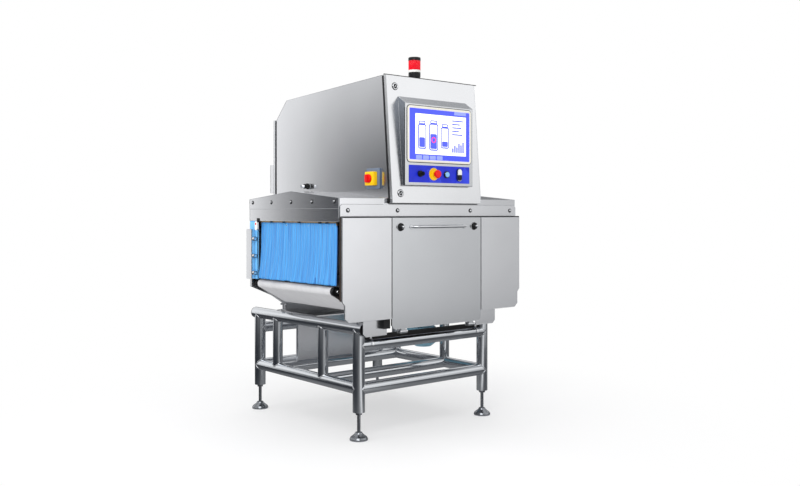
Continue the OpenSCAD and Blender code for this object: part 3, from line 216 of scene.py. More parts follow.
def lit(name, colour, strength=0.75, roughness=0.2):
    """A backlit panel under clear glass: it glows in its own colour and takes a sharp highlight."""
    look = Look(name, colour, 0.0, roughness, IOR=1.45, Emission_Color=linear(colour), Emission_Strength=strength)
    return look.rough(look.grain(70.0, 1.0), roughness * 0.8, roughness * 1.2).made


def ribbed_lens(name):
    """Clear red acrylic of a signal lamp: it lets light in and glows a little."""
    look = Look(name, "#E2001C", 0.0, 0.16, IOR=1.49, Transmission_Weight=0.25, Specular_IOR_Level=0.3,
                Emission_Color=linear("#E0102A"), Emission_Strength=0.25)
    return look.rough(look.grain((6.0, 6.0, 20.0)), 0.08, 0.2).made


FRONT_STEEL = brushed_stainless("brushed stainless, front sheets", "Z")
HOOD_STEEL = brushed_stainless("brushed stainless, hood", "Y", low=0.12, high=0.17)
CABINET_STEEL = brushed_stainless("brushed stainless, cabinet", "Z", low=0.19, high=0.205)
DOOR_STEEL = brushed_stainless("brushed stainless, doors", "X", "#E8E9EB", "#E5E6E8", 0.245, 0.26)
TUBE_STEEL = polished_stainless("polished stainless tube")
BRIGHT_STEEL = polished_stainless("turned stainless", "#DCDEE1", 0.08, 0.18)
EDGE_STEEL = polished_stainless("radiused stainless fold", "#DCDEE1", 0.14, 0.24)
HOUSING_STEEL_FLANK_SHADED = housing_stainless_with_flank_shade("polished stainless, operator housing, painted flank shade")
# painted shade: the colour of the dark tubes in the seams and under the rail
SEAM_SHADE = moulded("grey-black painted seam shade", "#222427", "#1B1D20", 0.7, 2.0, 0.05)
# painted reflection: the feet's steel made darker, for the dark surroundings they mirror
FOOT_STEEL_DARKENED = polished_stainless("cast stainless foot, painted dark reflection", "#8E9196", 0.16, 0.3)
# painted shade: the drop-down door's copy of the sheet steel, darker than the panels beside it
ACCESS_DOOR_STEEL_SHADED = brushed_stainless("brushed stainless, drop-down door", "Z", "#D6D8DB", "#D3D5D8", 0.255, 0.265)
WELD_STEEL = polished_stainless("dressed weld bead", "#C9CBCE", 0.2, 0.35)
DARK_STEEL = cast_metal("blackened steel", "#4A4C50")
BLACK_NYLON = moulded("black nylon", "#17181A", "#101113")
BLACK_RUBBER = moulded("black rubber", "#1C1C1E", "#131315", 0.62, 2.0, 0.08, 1.52)
LEAD_CORE = moulded("brown painted lead sheet", "#3A302A", "#2A2320", 0.5, 6.0, 0.1)
BEIGE_STRIP = cast_metal("beige anodised strip", "#B79C78")
CURTAIN_BLUE_LAP_SHADED = lead_rubber("blue lead-rubber strips, painted lap shade", "#45A2E6", "#145AB0", 0.42, True)
# painted light: the flap's lead rubber made lighter than the strips', against the shade it hangs in
FLAP_BLUE_LIGHTENED = lead_rubber("blue lead-rubber flap, painted lighter against its shade", "#72C4FF", "#64B8FC")
BELT_WHITE = woven_belt("white polyurethane belt")
# painted light: the motor's enamel made lighter than its own colour, against the shade it sits in
MOTOR_TEAL_LIGHTENED = enamel("grey-teal machine enamel, painted lighter against its shade", "#7FB0C4", "#75A4B8")
CAST_GREY = cast_metal("cast aluminium case", "#A8ABAF")
DARK_CASE = cast_metal("dark anodised case", "#5A5C60")
GEAR_GREY = moulded("grey moulded control gear", "#B9BBBD", "#ACAEB0")
CREAM_BEZEL = moulded("cream moulded bezel", "#F1EEE4", "#EAE6DA", 0.35)
SCREEN_PALE = lit("lit pale blue screen", "#7C88F4")
SCREEN_INK = lit("lit screen marks", "#4450EA")
SCREEN_BLUE = lit("lit blue screen", "#3C48E8")
SCREEN_RED = lit("lit red mark", "#F03A30")
SCREEN_WHITE = lit("lit white screen", "#F4F5FA")
PLATE_BLUE = moulded("blue polyester laminate", "#1B2FD6", "#1628C2", 0.35, 1.0, 0.01)
PLATE_PALE = moulded("pale blue film facets", "#3348EA", "#2B40DC", 0.35, 1.0, 0.01)
ISOLATOR_GREY = moulded("blue-grey moulded switch plate", "#6E7C93", "#657389", 0.4)
SAFETY_YELLOW = moulded("yellow moulded switch", "#FFCE00", "#F8C400", 0.34)
SAFETY_RED = moulded("red moulded switch", "#F0100C", "#DE0C08", 0.32)
PALE_BLUE = moulded("pale blue moulded button", "#8FC8F4", "#7FBCEC", 0.3)
WHITE_PLASTIC = moulded("white moulded button", "#F2F2EF", "#E8E8E4", 0.3)
LENS_RED = ribbed_lens("red acrylic lens")

WEARS = {
    TUBE_STEEL: "stand_uprights stand_side_tubes stand_cross_tubes",
    FOOT_STEEL_DARKENED: "levelling_feet",
    ACCESS_DOOR_STEEL_SHADED: "access_door",
    BRIGHT_STEEL: "infeed_nose_roller outfeed_nose_roller return_roller drive_drum drive_pulley door_gland "
                  "door_lock_top door_lock_bottom",
    FRONT_STEEL: "front_brackets front_panels front_rail conveyor_frame rear_wall rear_lower_panel",
    HOOD_STEEL: "tunnel_roof end_plates floor_pan flap_clamps",
    CABINET_STEEL: "cabinet_shell cabinet_fittings rear_door rear_cover",
    DOOR_STEEL: "cabinet_door",
    HOUSING_STEEL_FLANK_SHADED: "hmi_housing",
    LEAD_CORE: "front_wall",
    BLACK_RUBBER: "rest_strip panel_gaskets cabinet_seals toothed_belt",
    BLACK_NYLON: "tube_end_caps access_knob_left access_knob_right roller_bearings sensors key_switch "
                 "stop_button beacon_base",
    DARK_STEEL: "housing_bolts",
    BEIGE_STRIP: "curtain_hangers",
    CURTAIN_BLUE_LAP_SHADED: "infeed_curtain outfeed_curtain",
    FLAP_BLUE_LIGHTENED: "side_flaps",
    BELT_WHITE: "conveyor_belt",
    MOTOR_TEAL_LIGHTENED: "gear_motor",
    DARK_CASE: "line_detector",
    CAST_GREY: "xray_source",
    GEAR_GREY: "control_unit",
    CREAM_BEZEL: "touch_screen",
    PLATE_BLUE: "button_plate",
    SAFETY_RED: "estop_head isolator_knob",
    SAFETY_YELLOW: "isolator_body",
    PALE_BLUE: "reset_button",
    WHITE_PLASTIC: "start_button",
    LENS_RED: "beacon_lens",
}
for material, names in WEARS.items():
    for name in names.split():
        NODES[name].data.materials.clear()
        NODES[name].data.materials.append(material)


# ---- surfaces

# heights and places as in the part's source, in metres
TUBE_R, STRUT_R, STRUT_YS = 0.03015, 0.027, (-0.12, 0.312)
LOW_Z, CROSS_Z, TOP_Z = 0.249, 0.4586, 0.53835
NOSE_X, NOSE_Z = 0.574, 0.73
HANGER_Z, EYE_Y, EYE_Z = 1.0565, 0.2237, 1.036
HOOD_X, HOOD_Y, HOOD_BOLT_Z, HOOD_BOLT_PITCH, RAIL_BOLT_Z = 0.6, -0.093, 1.158, 0.18612, 1.116
PANEL_X, PANEL_LOW, PANEL_TOP, PANEL_SEAM_X = 0.598, 0.592, 1.0835, 0.3045
KNOB_X, KNOB_Y = 0.612, 0.26
# two faces whose normals' cosine is below this meet in a fold
FOLD = 0.87
LEFT, FRONT, UP = (-1.0, 0, 0), (0, -1.0, 0), (0, 0, 1.0)
ALONG_X, ALONG_Y = (1.0, 0, 0), (0, 1.0, 0)
FACE = (ALONG_X, UP)
DOOR = "cabinet_door"


def piece(name, points, faces, material, body, smooth=True):
    """A mesh from an array of points and lists of corners; it rides on a CAD body."""
    mesh = bpy.data.meshes.new(name)
    mesh.from_pydata(np.asarray(points, float).reshape(-1, 3).tolist(), [], faces)
    mesh.materials.append(material)
    mesh.polygons.foreach_set("use_smooth", [smooth] * len(mesh.polygons))
    mesh.validate()
    made = put(name, mesh)
    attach(made, body)
    return made


def quads(rows, cols, wrap_rows=False, wrap_cols=False, start=0):
    """The corners of a grid's faces, row by row; either way round may close on itself."""
    i, j = np.meshgrid(np.arange(rows if wrap_rows else rows - 1), np.arange(cols if wrap_cols else cols - 1),
                       indexing="ij")
    a, b = (i + 1) % rows, (j + 1) % cols
    return (start + np.stack([i * cols + j, i * cols + b, a * cols + b, a * cols + j], -1).reshape(-1, 4)).tolist()


class Shapes:
    """Several closed shapes gathered into one piece; each method adds one and returns the gatherer."""

    def __init__(self):
        self.points, self.faces, self.count = [], [], 0

    def grid(self, points, wrap_rows=False, wrap_cols=True, caps=False):
        """Adds a grid of points as faces; caps closes the first and last row."""
        rows, cols = points.shape[:2]
        self.faces += quads(rows, cols, wrap_rows, wrap_cols, self.count)
        if caps:
            self.faces += [list(range(self.count + cols - 1, self.count - 1, -1)),
                           list(range(self.count + (rows - 1) * cols, self.count + rows * cols))]
        self.points.append(points.reshape(-1, 3))
        self.count += rows * cols
        return self

    def lathe(self, profile, centre, axis, steps=24):
        """Turns (radius, height) pairs round an axis through centre: each ring is centre + height along
        the axis + radius on the circle across it."""
        radii, heights = np.asarray(profile, float).T
        axis = np.asarray(axis, float) / np.linalg.norm(axis)
        side = np.cross(axis, UP if abs(axis[2]) < 0.9 else ALONG_X)
        side /= np.linalg.norm(side)
        return self.ribbed(heights, radii[:, None] * np.ones(steps), centre, axis, side, np.cross(axis, side))

    def ribbed(self, heights, radii, centre, axis, side, up):
        """As lathe, with a row of radii for each height: one for each angle from side towards up."""
        circle = ring_of(np.array(side), np.array(up), radii.shape[1])
        return self.grid(np.asarray(centre, float) + np.asarray(heights)[:, None, None] * np.array(axis)
                         + radii[:, :, None] * circle, caps=True)

    def tube(self, path, radius, steps=12, closed=False):
        """Carries a circle of that radius along a path, square to it at each point."""
        path = np.asarray(path, float)
        along = np.roll(path, -1, 0) - np.roll(path, 1, 0)
        if not closed:
            along[0], along[-1] = path[1] - path[0], path[-1] - path[-2]
        along /= np.linalg.norm(along, axis=1)[:, None]
        flat = UP if np.abs(along[:, 2]).max() < 0.95 else (0.31, 0.95, 0.05)
        side = np.cross(along, flat)
        side /= np.linalg.norm(side, axis=1)[:, None]
        circle = ring_of(side[:, None], np.cross(side, along)[:, None], steps)
        return self.grid(path[:, None] + np.broadcast_to(radius, len(path))[:, None, None] * circle,
                         wrap_rows=closed, caps=not closed)

    def pad(self, profile, centre, u, v, hw, hh, radius):
        """A moulded plate: for each (inset, height) pair, the rounded outline drawn in by inset and lifted by
        height along u x v."""
        return self.grid(outlines(profile, centre, u, v, hw, hh, radius), caps=True)

    def frame(self, profile, centre, u, v, hw, hh, radius):
        """A closed ring, such as a bezel: as pad, but the profile's last pair joins its first."""
        return self.grid(outlines(profile, centre, u, v, hw, hh, radius), wrap_rows=True)

    def done(self, name, material, body="machine", stands_for=None):
        """Makes the piece, its faces turned outwards, with crisp edges above 35 degrees."""
        made = piece(name, np.concatenate(self.points), self.faces, material, body)
        outwards(made.data)
        made.data.set_sharp_from_angle(angle=math.radians(35))
        if stands_for:
            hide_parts(stands_for)
        return made


def angles(steps):
    """Equal steps round a full turn, in radians."""
    return np.linspace(0, 2 * math.pi, steps, endpoint=False)


def ring_of(side, up, steps):
    """A circle of radius 1 in the plane of two directions."""
    turn = angles(steps)[:, None]
    return np.cos(turn) * side + np.sin(turn) * up


def pivot(joint):
    """A joint's place and direction."""
    return np.array(JOINTS[joint]["pos_m"], float), np.array(JOINTS[joint]["axis"], float)


def outwards(mesh):
    """Turns every closed shell's faces outwards."""
    work = bmesh.new()
    work.from_mesh(mesh)
    bmesh.ops.recalc_face_normals(work, faces=work.faces)
    work.to_mesh(mesh)
    work.free()


def rounded(hw, hh, radius, steps=6):
    """A rounded rectangle's outline: four quarter circles of that radius, centred radius inside its corners."""
    radius = min(radius, hw, hh)
    turn = np.linspace(0, math.pi / 2, steps)
    quarter = np.stack([np.cos(turn), np.sin(turn)], 1) * radius
    spin = np.array([[0, 1], [-1, 0]])
    corners = ((hw - radius, hh - radius), (radius - hw, hh - radius), (radius - hw, radius - hh),
               (hw - radius, radius - hh))
    return np.concatenate([quarter @ np.linalg.matrix_power(spin, k) + corner for k, corner in enumerate(corners)])


def outlines(profile, centre, u, v, hw, hh, radius):
    """The rounded outline at each (inset, height) pair of a profile."""
    u, v = np.asarray(u, float), np.asarray(v, float)
    out = np.cross(u, v)
    rings = []
    for inset, height in profile:
        edge = rounded(hw - inset, hh - inset, max(radius - inset, 0.0004))
        rings.append(np.asarray(centre, float) + edge[:, :1] * u + edge[:, 1:] * v + height * out)
    return np.stack(rings)


def dome(radius, height, base=0.0, steps=6):
    """A cap's profile: a quarter ellipse from the rim to the axis."""
    turn = np.linspace(0, math.pi / 2, steps)
    return [(radius * math.cos(a) + 1e-5, base + height * math.sin(a)) for a in turn]


def mm(*pairs):
    """Pairs of millimetres as a list of pairs in metres."""
    return [(a * MM, b * MM) for a, b in pairs]


def middle(node):
    """A node's centre, lowest and highest corner."""
    lo, hi = (np.array(corner, float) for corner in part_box(node))
    return (lo + hi) / 2, lo, hi


# ---- curtains and flaps

ROD_Z, CLAMP_Z = 1.052, 1.0405


def thicken(made):
    """Gives a sheet its 1.5 mm, half to each side."""
    wall = made.modifiers.new("thickness", "SOLIDIFY")
    wall.thickness, wall.offset = 0.0015, 0.0


def strips(name, node, out, seed, stand):
    """A strip curtain of lapped strips. Strip k hangs beside the rod: x = rod + out (stand + tilt s + bend
    t^2.6 + wave + cup s^2) and y = pitch k + drift t^2 + width s / 2, with t the way down and s from -1 to 1
    across. The tilt carries each strip's edge over the next one; the bends are less in the first strips."""
    lo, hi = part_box(node)
    dice = np.random.default_rng(seed)
    low = lo[2]
    y0, y1 = lo[1] + 0.0075, hi[1] - 0.0075
    count, width, rows, cols = 30, 0.0292, 40, 5
    pitch = (y1 - y0) / count
    t = np.linspace(0, 1, rows)[:, None]
    across = np.linspace(-1, 1, cols)[None, :]
    rod = (lo[0] if out < 0 else hi[0]) - out * 0.0245
    points, faces, edge = [], [], []
    for k in range(count):
        twist = np.clip(dice.normal(0, 0.0005), -0.001, 0.0012)
        curl = np.clip(dice.normal(0.0012, 0.0022), -0.001, 0.0055)
        tilt = 0.0034 + twist * t + curl * t ** 4
        bend = np.clip(dice.normal(0.019, 0.0052), 0.008, 0.029) * min(1.0, 0.4 + 0.15 * k)
        wave = 0.0005 * np.sin(t * 5.0 + k * 0.9)
        drift = dice.normal(0, 0.0014) * t ** 2
        x = rod + out * (stand + tilt * across + bend * t ** 2.6 + wave + 0.0005 * across ** 2)
        y = np.clip(y0 + (k + 0.5) * pitch + drift + across * width / 2, lo[1] + 0.0065, hi[1] - 0.0065)
        z = HANGER_Z + (low + 0.0022 + abs(dice.normal(0, 0.0014)) - HANGER_Z) * t + 0 * across
        points.append(np.stack([x + 0 * y, y, z], -1).reshape(-1, 3))
        faces += quads(rows, cols, start=k * rows * cols)
        # edge: painted shade, deepest at the strip's edge that lies under the next strip's lap
        edge.append(np.broadcast_to(np.clip(-across, 0, 1) ** 1.2, (rows, cols)).ravel())
    made = piece(name, np.concatenate(points), faces, CURTAIN_BLUE_LAP_SHADED, node)
    layer = made.data.attributes.new("edge", "FLOAT", "POINT")
    layer.data.foreach_set("value", np.concatenate(edge).astype(np.float32))
    thicken(made)
    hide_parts(node)
    Shapes().tube([(rod, lo[1], ROD_Z), (rod, hi[1], ROD_Z)], 0.004, 16).done(name + "_rod", BRIGHT_STEEL, node)
    bars = Shapes()
    for side in (-1, 1):
        bars.pad(mm((0, -0.8), (0.6, 0), (0.6, 1.2)), (rod + side * 0.0042, (y0 + y1) / 2, CLAMP_Z), ALONG_Y,
                 (0, 0, float(side)), (y1 - y0) / 2, 0.0065, 0.002)
    for y in np.linspace(y0 + 0.03, y1 - 0.03, 7):
        bars.lathe(mm((4, 0), (4.2, 0.8), (3, 2.6), (0.5, 3)), (rod + out * 0.0052, y, CLAMP_Z), (out, 0, 0), 12)
    bars.done(name + "_clamp", BRIGHT_STEEL, node)


def flap(name, out):
    """A fixed side flap: x = plane - out (1.2 mm + 0.88 mm cos(2.2 pi t) (1 - s)^2), with t the way down and s
    the way to the clamped edge, and two thin black beads down its near edge."""
    lo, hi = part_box("side_flaps")
    near = hi[0] - 0.0008 if out > 0 else lo[0] + 0.0008
    rows, cols = 30, 14
    t = np.linspace(0, 1, rows)[:, None]
    s = np.linspace(0, 1, cols)[None, :]
    y = lo[1] + 0.001 + (hi[1] - lo[1] - 0.002) * s + 0 * t
    z = hi[2] - 0.0006 + (lo[2] - hi[2] + 0.0012) * t + 0 * s
    x = near - out * (0.0012 + 0.00088 * np.cos(2.2 * math.pi * t) * (1 - s) ** 2) + 0 * y
    made = piece(name, np.stack([x, y, z], -1), quads(rows, cols), FLAP_BLUE_LIGHTENED, "machine")
    thicken(made)
    path = np.stack([x[:, 0] + out * 0.0002, y[:, 0] + 0.0045, z[:, 0]], -1)
    path[:, 2] = np.clip(path[:, 2], lo[2] + 0.001, hi[2] - 0.001)
    # a dark line beside the curtain's far edge, drawn as two black tubes
    black_beads = Shapes().tube(path, 0.0022, 10).tube(path + [0, 0.006, 0], 0.0018, 10)
    black_beads = black_beads.done(name + "_black_beads", BLACK_RUBBER)
    return made


# ---- operator panel

JAR_Z = 1.484
PAGE = (-0.168, 0.178, 1.396, 1.597)


def screen():
    """The screen's cream bezel, a black ring round it as painted shadow, and glass, and what it shows: a plain
    inspection page with three jars, a ring round a find, a few lines and a bar chart."""
    mid, lo, hi = middle("touch_screen")
    hw, hh = (hi[0] - lo[0]) / 2, (hi[2] - lo[2]) / 2
    depth = hi[1] - lo[1]
    at = (mid[0], hi[1], mid[2])
    shape = Shapes().frame([(0, 0), (0, depth * 0.55), (0.0012, depth * 0.85), (0.0035, depth), (0.0105, depth),
                            (0.0122, depth * 0.8), (0.0125, 0)], at, *FACE, hw, hh, 0.017)
    shape.done("screen_bezel", CREAM_BEZEL, DOOR, "touch_screen")
    # painted shadow: a black ring round the bezel
    shape = Shapes().frame(mm((-3.4, 0), (-3.4, 1.4), (0.8, 1.4), (0.8, 0)), at, *FACE, hw, hh, 0.018)
    shape.done("bezel_shadow_ring", BLACK_RUBBER, DOOR)
    shape = Shapes().pad([(0, 0), (0, depth * 0.45), (0.0006, depth * 0.5)], at, *FACE, hw - 0.012, hh - 0.012,
                         0.006)
    shape.done("screen_glass", SCREEN_BLUE, DOOR)
    lift = hi[1] - depth * 0.5

    def tile(shapes, x0, x1, z0, z1, out=0.0004, radius=0.0012):
        return shapes.pad([(0, 0), (0, out * 0.8), (0.0002, out)], ((x0 + x1) / 2, lift, (z0 + z1) / 2), *FACE,
                          (x1 - x0) / 2, (z1 - z0) / 2, radius)

    def outline(shapes, line, high, x, z, hw, hh, radius):
        return shapes.frame(mm((0, 0), (0, high), (line, high), (line, 0)), (x, lift - 0.0004, z), *FACE, hw, hh,
                            radius)

    x0, x1, z0, z1 = PAGE
    tile(Shapes(), *PAGE).done("screen_page", SCREEN_WHITE, DOOR)
    keys = tile(Shapes(), 0.095, x1, 1.6045, 1.6245)
    for k in range(4):
        tile(keys, x0 + 0.004 + k * 0.046, x0 + 0.044 + k * 0.046, 1.3705, 1.3905, radius=0.003)
    keys.done("screen_pale_keys", SCREEN_PALE, DOOR)
    marks = Shapes()
    for x, tall, wide, fill in ((-0.124, 0.062, 0.028, -0.004), (-0.047, 0.068, 0.031, 0.016),
                                (0.03, 0.054, 0.029, -0.018)):
        outline(marks, 6.2, 0.5, x, JAR_Z, wide, tall, 0.012)
        outline(marks, 5.0, 0.5, x, JAR_Z + tall + 0.0075, wide * 0.72, 0.0085, 0.003)
        tile(marks, x - wide + 0.009, x + wide - 0.009, JAR_Z - tall + 0.009, JAR_Z + fill, 0.0008, 0.006)
    for k, long in enumerate((0.078, 0.056, 0.066, 0.048, 0.072)):
        z = z1 - 0.026 - k * 0.0175
        tile(marks, x1 - 0.098, x1 - 0.098 + long, z, z + 0.0062, 0.0008)
    for k, tall in enumerate((0.022, 0.036, 0.029, 0.048, 0.041, 0.056)):
        x = x1 - 0.098 + k * 0.0145
        tile(marks, x, x + 0.01, z0 + 0.016, z0 + 0.016 + tall, 0.0008, 0.0008)
    marks.done("screen_marks", SCREEN_INK, DOOR)
    outline(Shapes(), 4.5, 0.9, -0.047, 1.47, 0.015, 0.015, 0.015).done("screen_warning_ring", SCREEN_RED, DOOR)


def button_plate():
    """The blue film with two lighter facets, the collars and rims, and each button on its own body."""
    cx = middle("touch_screen")[0][0]
    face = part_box("hmi_housing")[0][1]
    shape = Shapes().pad(mm((0, 0), (0, 2.4), (0.5, 3)), (cx, face, 1.298), *FACE, 0.2055, 0.043, 0.002)
    shape.done("button_film", PLATE_BLUE, DOOR, "button_plate")
    front = face - 0.003
    corners = ((-0.072, 1.256), (0.008, 1.256), (-0.03, 1.339), (-0.094, 1.318), (0.105, 1.256), (0.2, 1.256),
               (0.2, 1.31), (0.168, 1.339))
    piece("button_film_facets", [(x, front - 0.0002, z) for x, z in corners], [(0, 1, 2, 3), (4, 5, 6, 7)],
          PLATE_PALE, DOOR, False)
    key, reset, start, head = ((mid[0], front, mid[2]) for mid in (middle(node)[0] for node in (
        "key_switch", "reset_button", "start_button", "estop_head")))
    pair = (start[0], front, (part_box("stop_button")[0][2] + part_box("start_button")[1][2]) / 2)
    stadium = (*FACE, 0.016, 0.0325, 0.016)
    shape = Shapes().lathe(mm((15.5, 0), (15.5, 9), (13.5, 12), (10.4, 12), (10.4, 0)), key, FRONT, 32)
    shape.lathe(mm((17.5, 0), (17.5, 6), (16.2, 8), (13.4, 8), (13.4, 0)), reset, FRONT, 32)
    shape.frame(mm((0, 0), (0, 6), (1, 8), (3.6, 8), (3.7, 0)), pair, *stadium)
    shape.done("switch_collars", BLACK_NYLON, DOOR)
    shape = Shapes().frame(mm((0.8, 7.8), (1, 8.8), (3.2, 8.8), (3.4, 7.8)), pair, *stadium)
    shape.lathe(mm((17.2, 6), (16.6, 7.2), (15.8, 8.2), (15.6, 7.8)), reset, FRONT, 32)
    shape.done("switch_rims", BRIGHT_STEEL, DOOR)
    shape = Shapes().lathe(mm((31, 0), (31, 3), (30.2, 4), (17, 4.2), (15.5, 6), (15, 12), (14.2, 13.5),
                              (11.4, 13.5), (11.4, 0)), head, FRONT, 48)
    shape.done("estop_disc", SAFETY_YELLOW, DOOR)
    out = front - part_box("estop_head")[0][1]
    profile = mm((11, 5.5), (11, 19.5), (13.5, 21), (17.2, 23.5), (20.2, 28), (21, 33))
    profile += [(0.0207, out - 0.009), (0.019, out - 0.0035), (0.0165, out - 0.0008), (0.0145, out),
                (0.0005, out - 0.0012)]
    Shapes().lathe(profile, head, FRONT, 48).done("estop_mushroom", SAFETY_RED, "estop_head", "estop_head")
    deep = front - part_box("reset_button")[0][1]
    shape = Shapes().lathe([(0.0128, 0.0055), (0.0128, deep - 0.0018), (0.0118, deep - 0.0004), (0.01, deep),
                            (0.0004, deep - 0.0009)], reset, FRONT, 40)
    shape.done("reset_cap", PALE_BLUE, "reset_button", "reset_button")
    for node, material, sign in (("start_button", WHITE_PLASTIC, 1), ("stop_button", BLACK_NYLON, -1)):
        # a half stadium: straight across the middle, round at its far end
        lo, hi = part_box(node)
        deep = front - lo[1]
        half, r = (hi[2] - lo[2]) / 2, (hi[0] - lo[0]) / 2
        inner = lo[2] if sign > 0 else hi[2]
        a = np.linspace(0, math.pi, 20)
        arc = np.stack([r * np.cos(a), (2 * half - r) + r * np.sin(a)], 1)
        outline = np.concatenate([[(r, 0.0)], arc, [(-r, 0.0)]])
        mid = np.array([0, half])
        rings = []
        for share, height in ((1.0, 0.0055), (1.0, deep - 0.0012), (0.95, deep - 0.0002), (0.88, deep),
                              (0.02, deep - 0.0008)):
            x, z = (mid + (outline - mid) * share).T
            rings.append(np.stack([pair[0] + x, np.full(len(x), front - height), inner + sign * z], -1))
        Shapes().grid(np.stack(rings), caps=True).done(node + "_cap", material, node, node)
    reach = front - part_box("key_switch")[0][1]
    shape = Shapes().lathe(mm((10, 0.3), (10, 13.5), (8.8, 15), (4, 15), (4, 19.5), (0.4, 19.5)), key, FRONT, 32)
    shape.pad(mm((0.6, -1.6), (0, -1), (0, 1), (0.6, 1.6)), (key[0], front - (reach + 0.0165) / 2, key[2]),
              ALONG_Y, UP, (reach - 0.0165) / 2, 0.0105, 0.0095)
    shape.done("key_in_lock", BLACK_NYLON, "key_switch", "key_switch")


# ---- beacon, isolator, locks and knobs

def beacon():
    """Signal lamp: black foot, white ring, ribbed red lens of radius R - 0.6 mm (1 - cos(36 angle)) and a
    black cap, with a lamp inside."""
    mid, lo, hi = middle("beacon_base")
    r = (hi[0] - lo[0]) / 2
    lens_lo, lens_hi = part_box("beacon_lens")
    h0 = lo[2]
    at = (mid[0], mid[1], h0)
    top, low, high = hi[2] - h0, lens_lo[2] - h0, lens_hi[2] - h0
    shape = Shapes().lathe([(r, 0), (r, low * 0.42), (r - 0.0022, low * 0.44), (r - 0.0022, low * 0.5),
                            (r - 0.0008, low * 0.52), (r - 0.0008, low - 0.0145), (r - 0.003, low - 0.0135)],
                           at, UP, 48)
    shape.done("beacon_foot", BLACK_NYLON, "machine", "beacon_base")
    Shapes().lathe([(r - 0.004, low - 0.0135), (r - 0.0006, low - 0.0125), (r - 0.0006, low - 0.001),
                    (r - 0.002, low)], at, UP, 48).done("beacon_ring", WHITE_PLASTIC)
    Shapes().lathe([(r - 0.002, high), (r, high + 0.001), (r, top - 0.004), (r - 0.002, top - 0.001),
                    (r - 0.008, top), (0.0005, top)], at, UP, 48).done("beacon_cap", BLACK_NYLON)
    radii = r - np.array([0.0012, 0.0008, 0.0008, 0.0012])[:, None] - 0.0006 + 0.0006 * np.cos(36 * angles(288))
    heights = [low - 0.0006, low + 0.002, high - 0.002, high + 0.0006]
    lens = Shapes().ribbed(heights, radii, at, UP, ALONG_X, ALONG_Y)
    lens.done("beacon_red_lens", LENS_RED, "machine", "beacon_lens")
    shape = Shapes().lathe([(0.012, low), (0.012, low + 0.018)] + dome(0.012, 0.01, low + 0.018), at, UP, 20)
    shape.done("beacon_light", WHITE_PLASTIC)


def isolator():
    """Main switch: grey back plate on a seal, yellow body, and a red knob with a grip across it."""
    mid, lo, hi = middle("isolator_body")
    wall, half = hi[0], (hi[1] - lo[1]) / 2
    at = (wall, mid[1], mid[2])
    deep = wall - lo[0]
    shape = Shapes().pad(mm((0, 0), (0, 7.5), (1.2, 9.8), (3, 10)), at, FRONT, UP, half, half, 0.006)
    shape.done("isolator_plate", ISOLATOR_GREY)
    shape = Shapes().frame(mm((-0.4, 0), (-0.4, 1.4), (1.2, 1.4), (1.2, 0)), at, FRONT, UP, half, half, 0.006)
    shape.done("isolator_seal", BLACK_RUBBER)
    Shapes().pad([(0, 0.0099), (0, deep - 0.004), (0.0015, deep - 0.0012), (0.004, deep)], at, FRONT, UP, 0.0345,
                 0.0345, 0.006).done("isolator_case", SAFETY_YELLOW, "machine", "isolator_body")
    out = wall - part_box("isolator_knob")[0][0]
    grip = deep + (out - deep) * 0.5
    shape = Shapes().lathe([(0.0218, deep + 0.0004), (0.022, grip - 0.0025), (0.0205, grip), (0.0005, grip)],
                           at, LEFT, 44)
    shape.pad([(0, grip - 0.001 - deep), (0, out - deep - 0.003), (0.0018, out - deep - 0.0004),
               (0.0035, out - deep)], (wall - deep, mid[1], mid[2]), UP, ALONG_Y, 0.0195, 0.0068, 0.004)
    shape.done("isolator_handle", SAFETY_RED, "isolator_knob", "isolator_knob")


def quarter_locks():
    """Each quarter-turn lock: a steel cup on a black ring of painted shadow, round a black insert with a steel
    slot, facing out of the leaning door."""
    for name in ("top", "bottom"):
        body = "door_lock_" + name
        at, way = pivot(body + "_turn")
        cup = Shapes().lathe(mm((16, 0.3), (16.2, 2.8), (14.8, 4.2), (12, 4.2), (11.2, 3.2), (11.2, 0.3)),
                             at, way, 36)
        cup.lathe(mm((10.8, -16), (10.8, 0.2)), at, way, 24)
        cup.done("lock_cup_" + name, BRIGHT_STEEL, body, body)
        # painted shadow: a black ring round the cup
        washer = Shapes().lathe(mm((19.2, 0), (19.2, 1), (15, 1.4), (15, 0)), at, way, 36)
        washer.done("lock_shadow_ring_" + name, BLACK_RUBBER, body)
        insert = Shapes().lathe(mm((11.1, 0.4), (11.1, 3), (10, 3.6), (0.5, 3.6)), at, way, 32)
        insert.done("lock_insert_" + name, BLACK_NYLON, body)
        side = np.array(ALONG_X)
        up = np.cross(way, side)
        along = side * math.cos(0.6) + up * math.sin(0.6)
        slot = Shapes().pad(mm((0, 2.8), (0, 4.2), (0.4, 4.5)), at, along, np.cross(way, along), 0.0062, 0.0018,
                            0.0016)
        slot.done("lock_key_" + name, BRIGHT_STEEL, body)


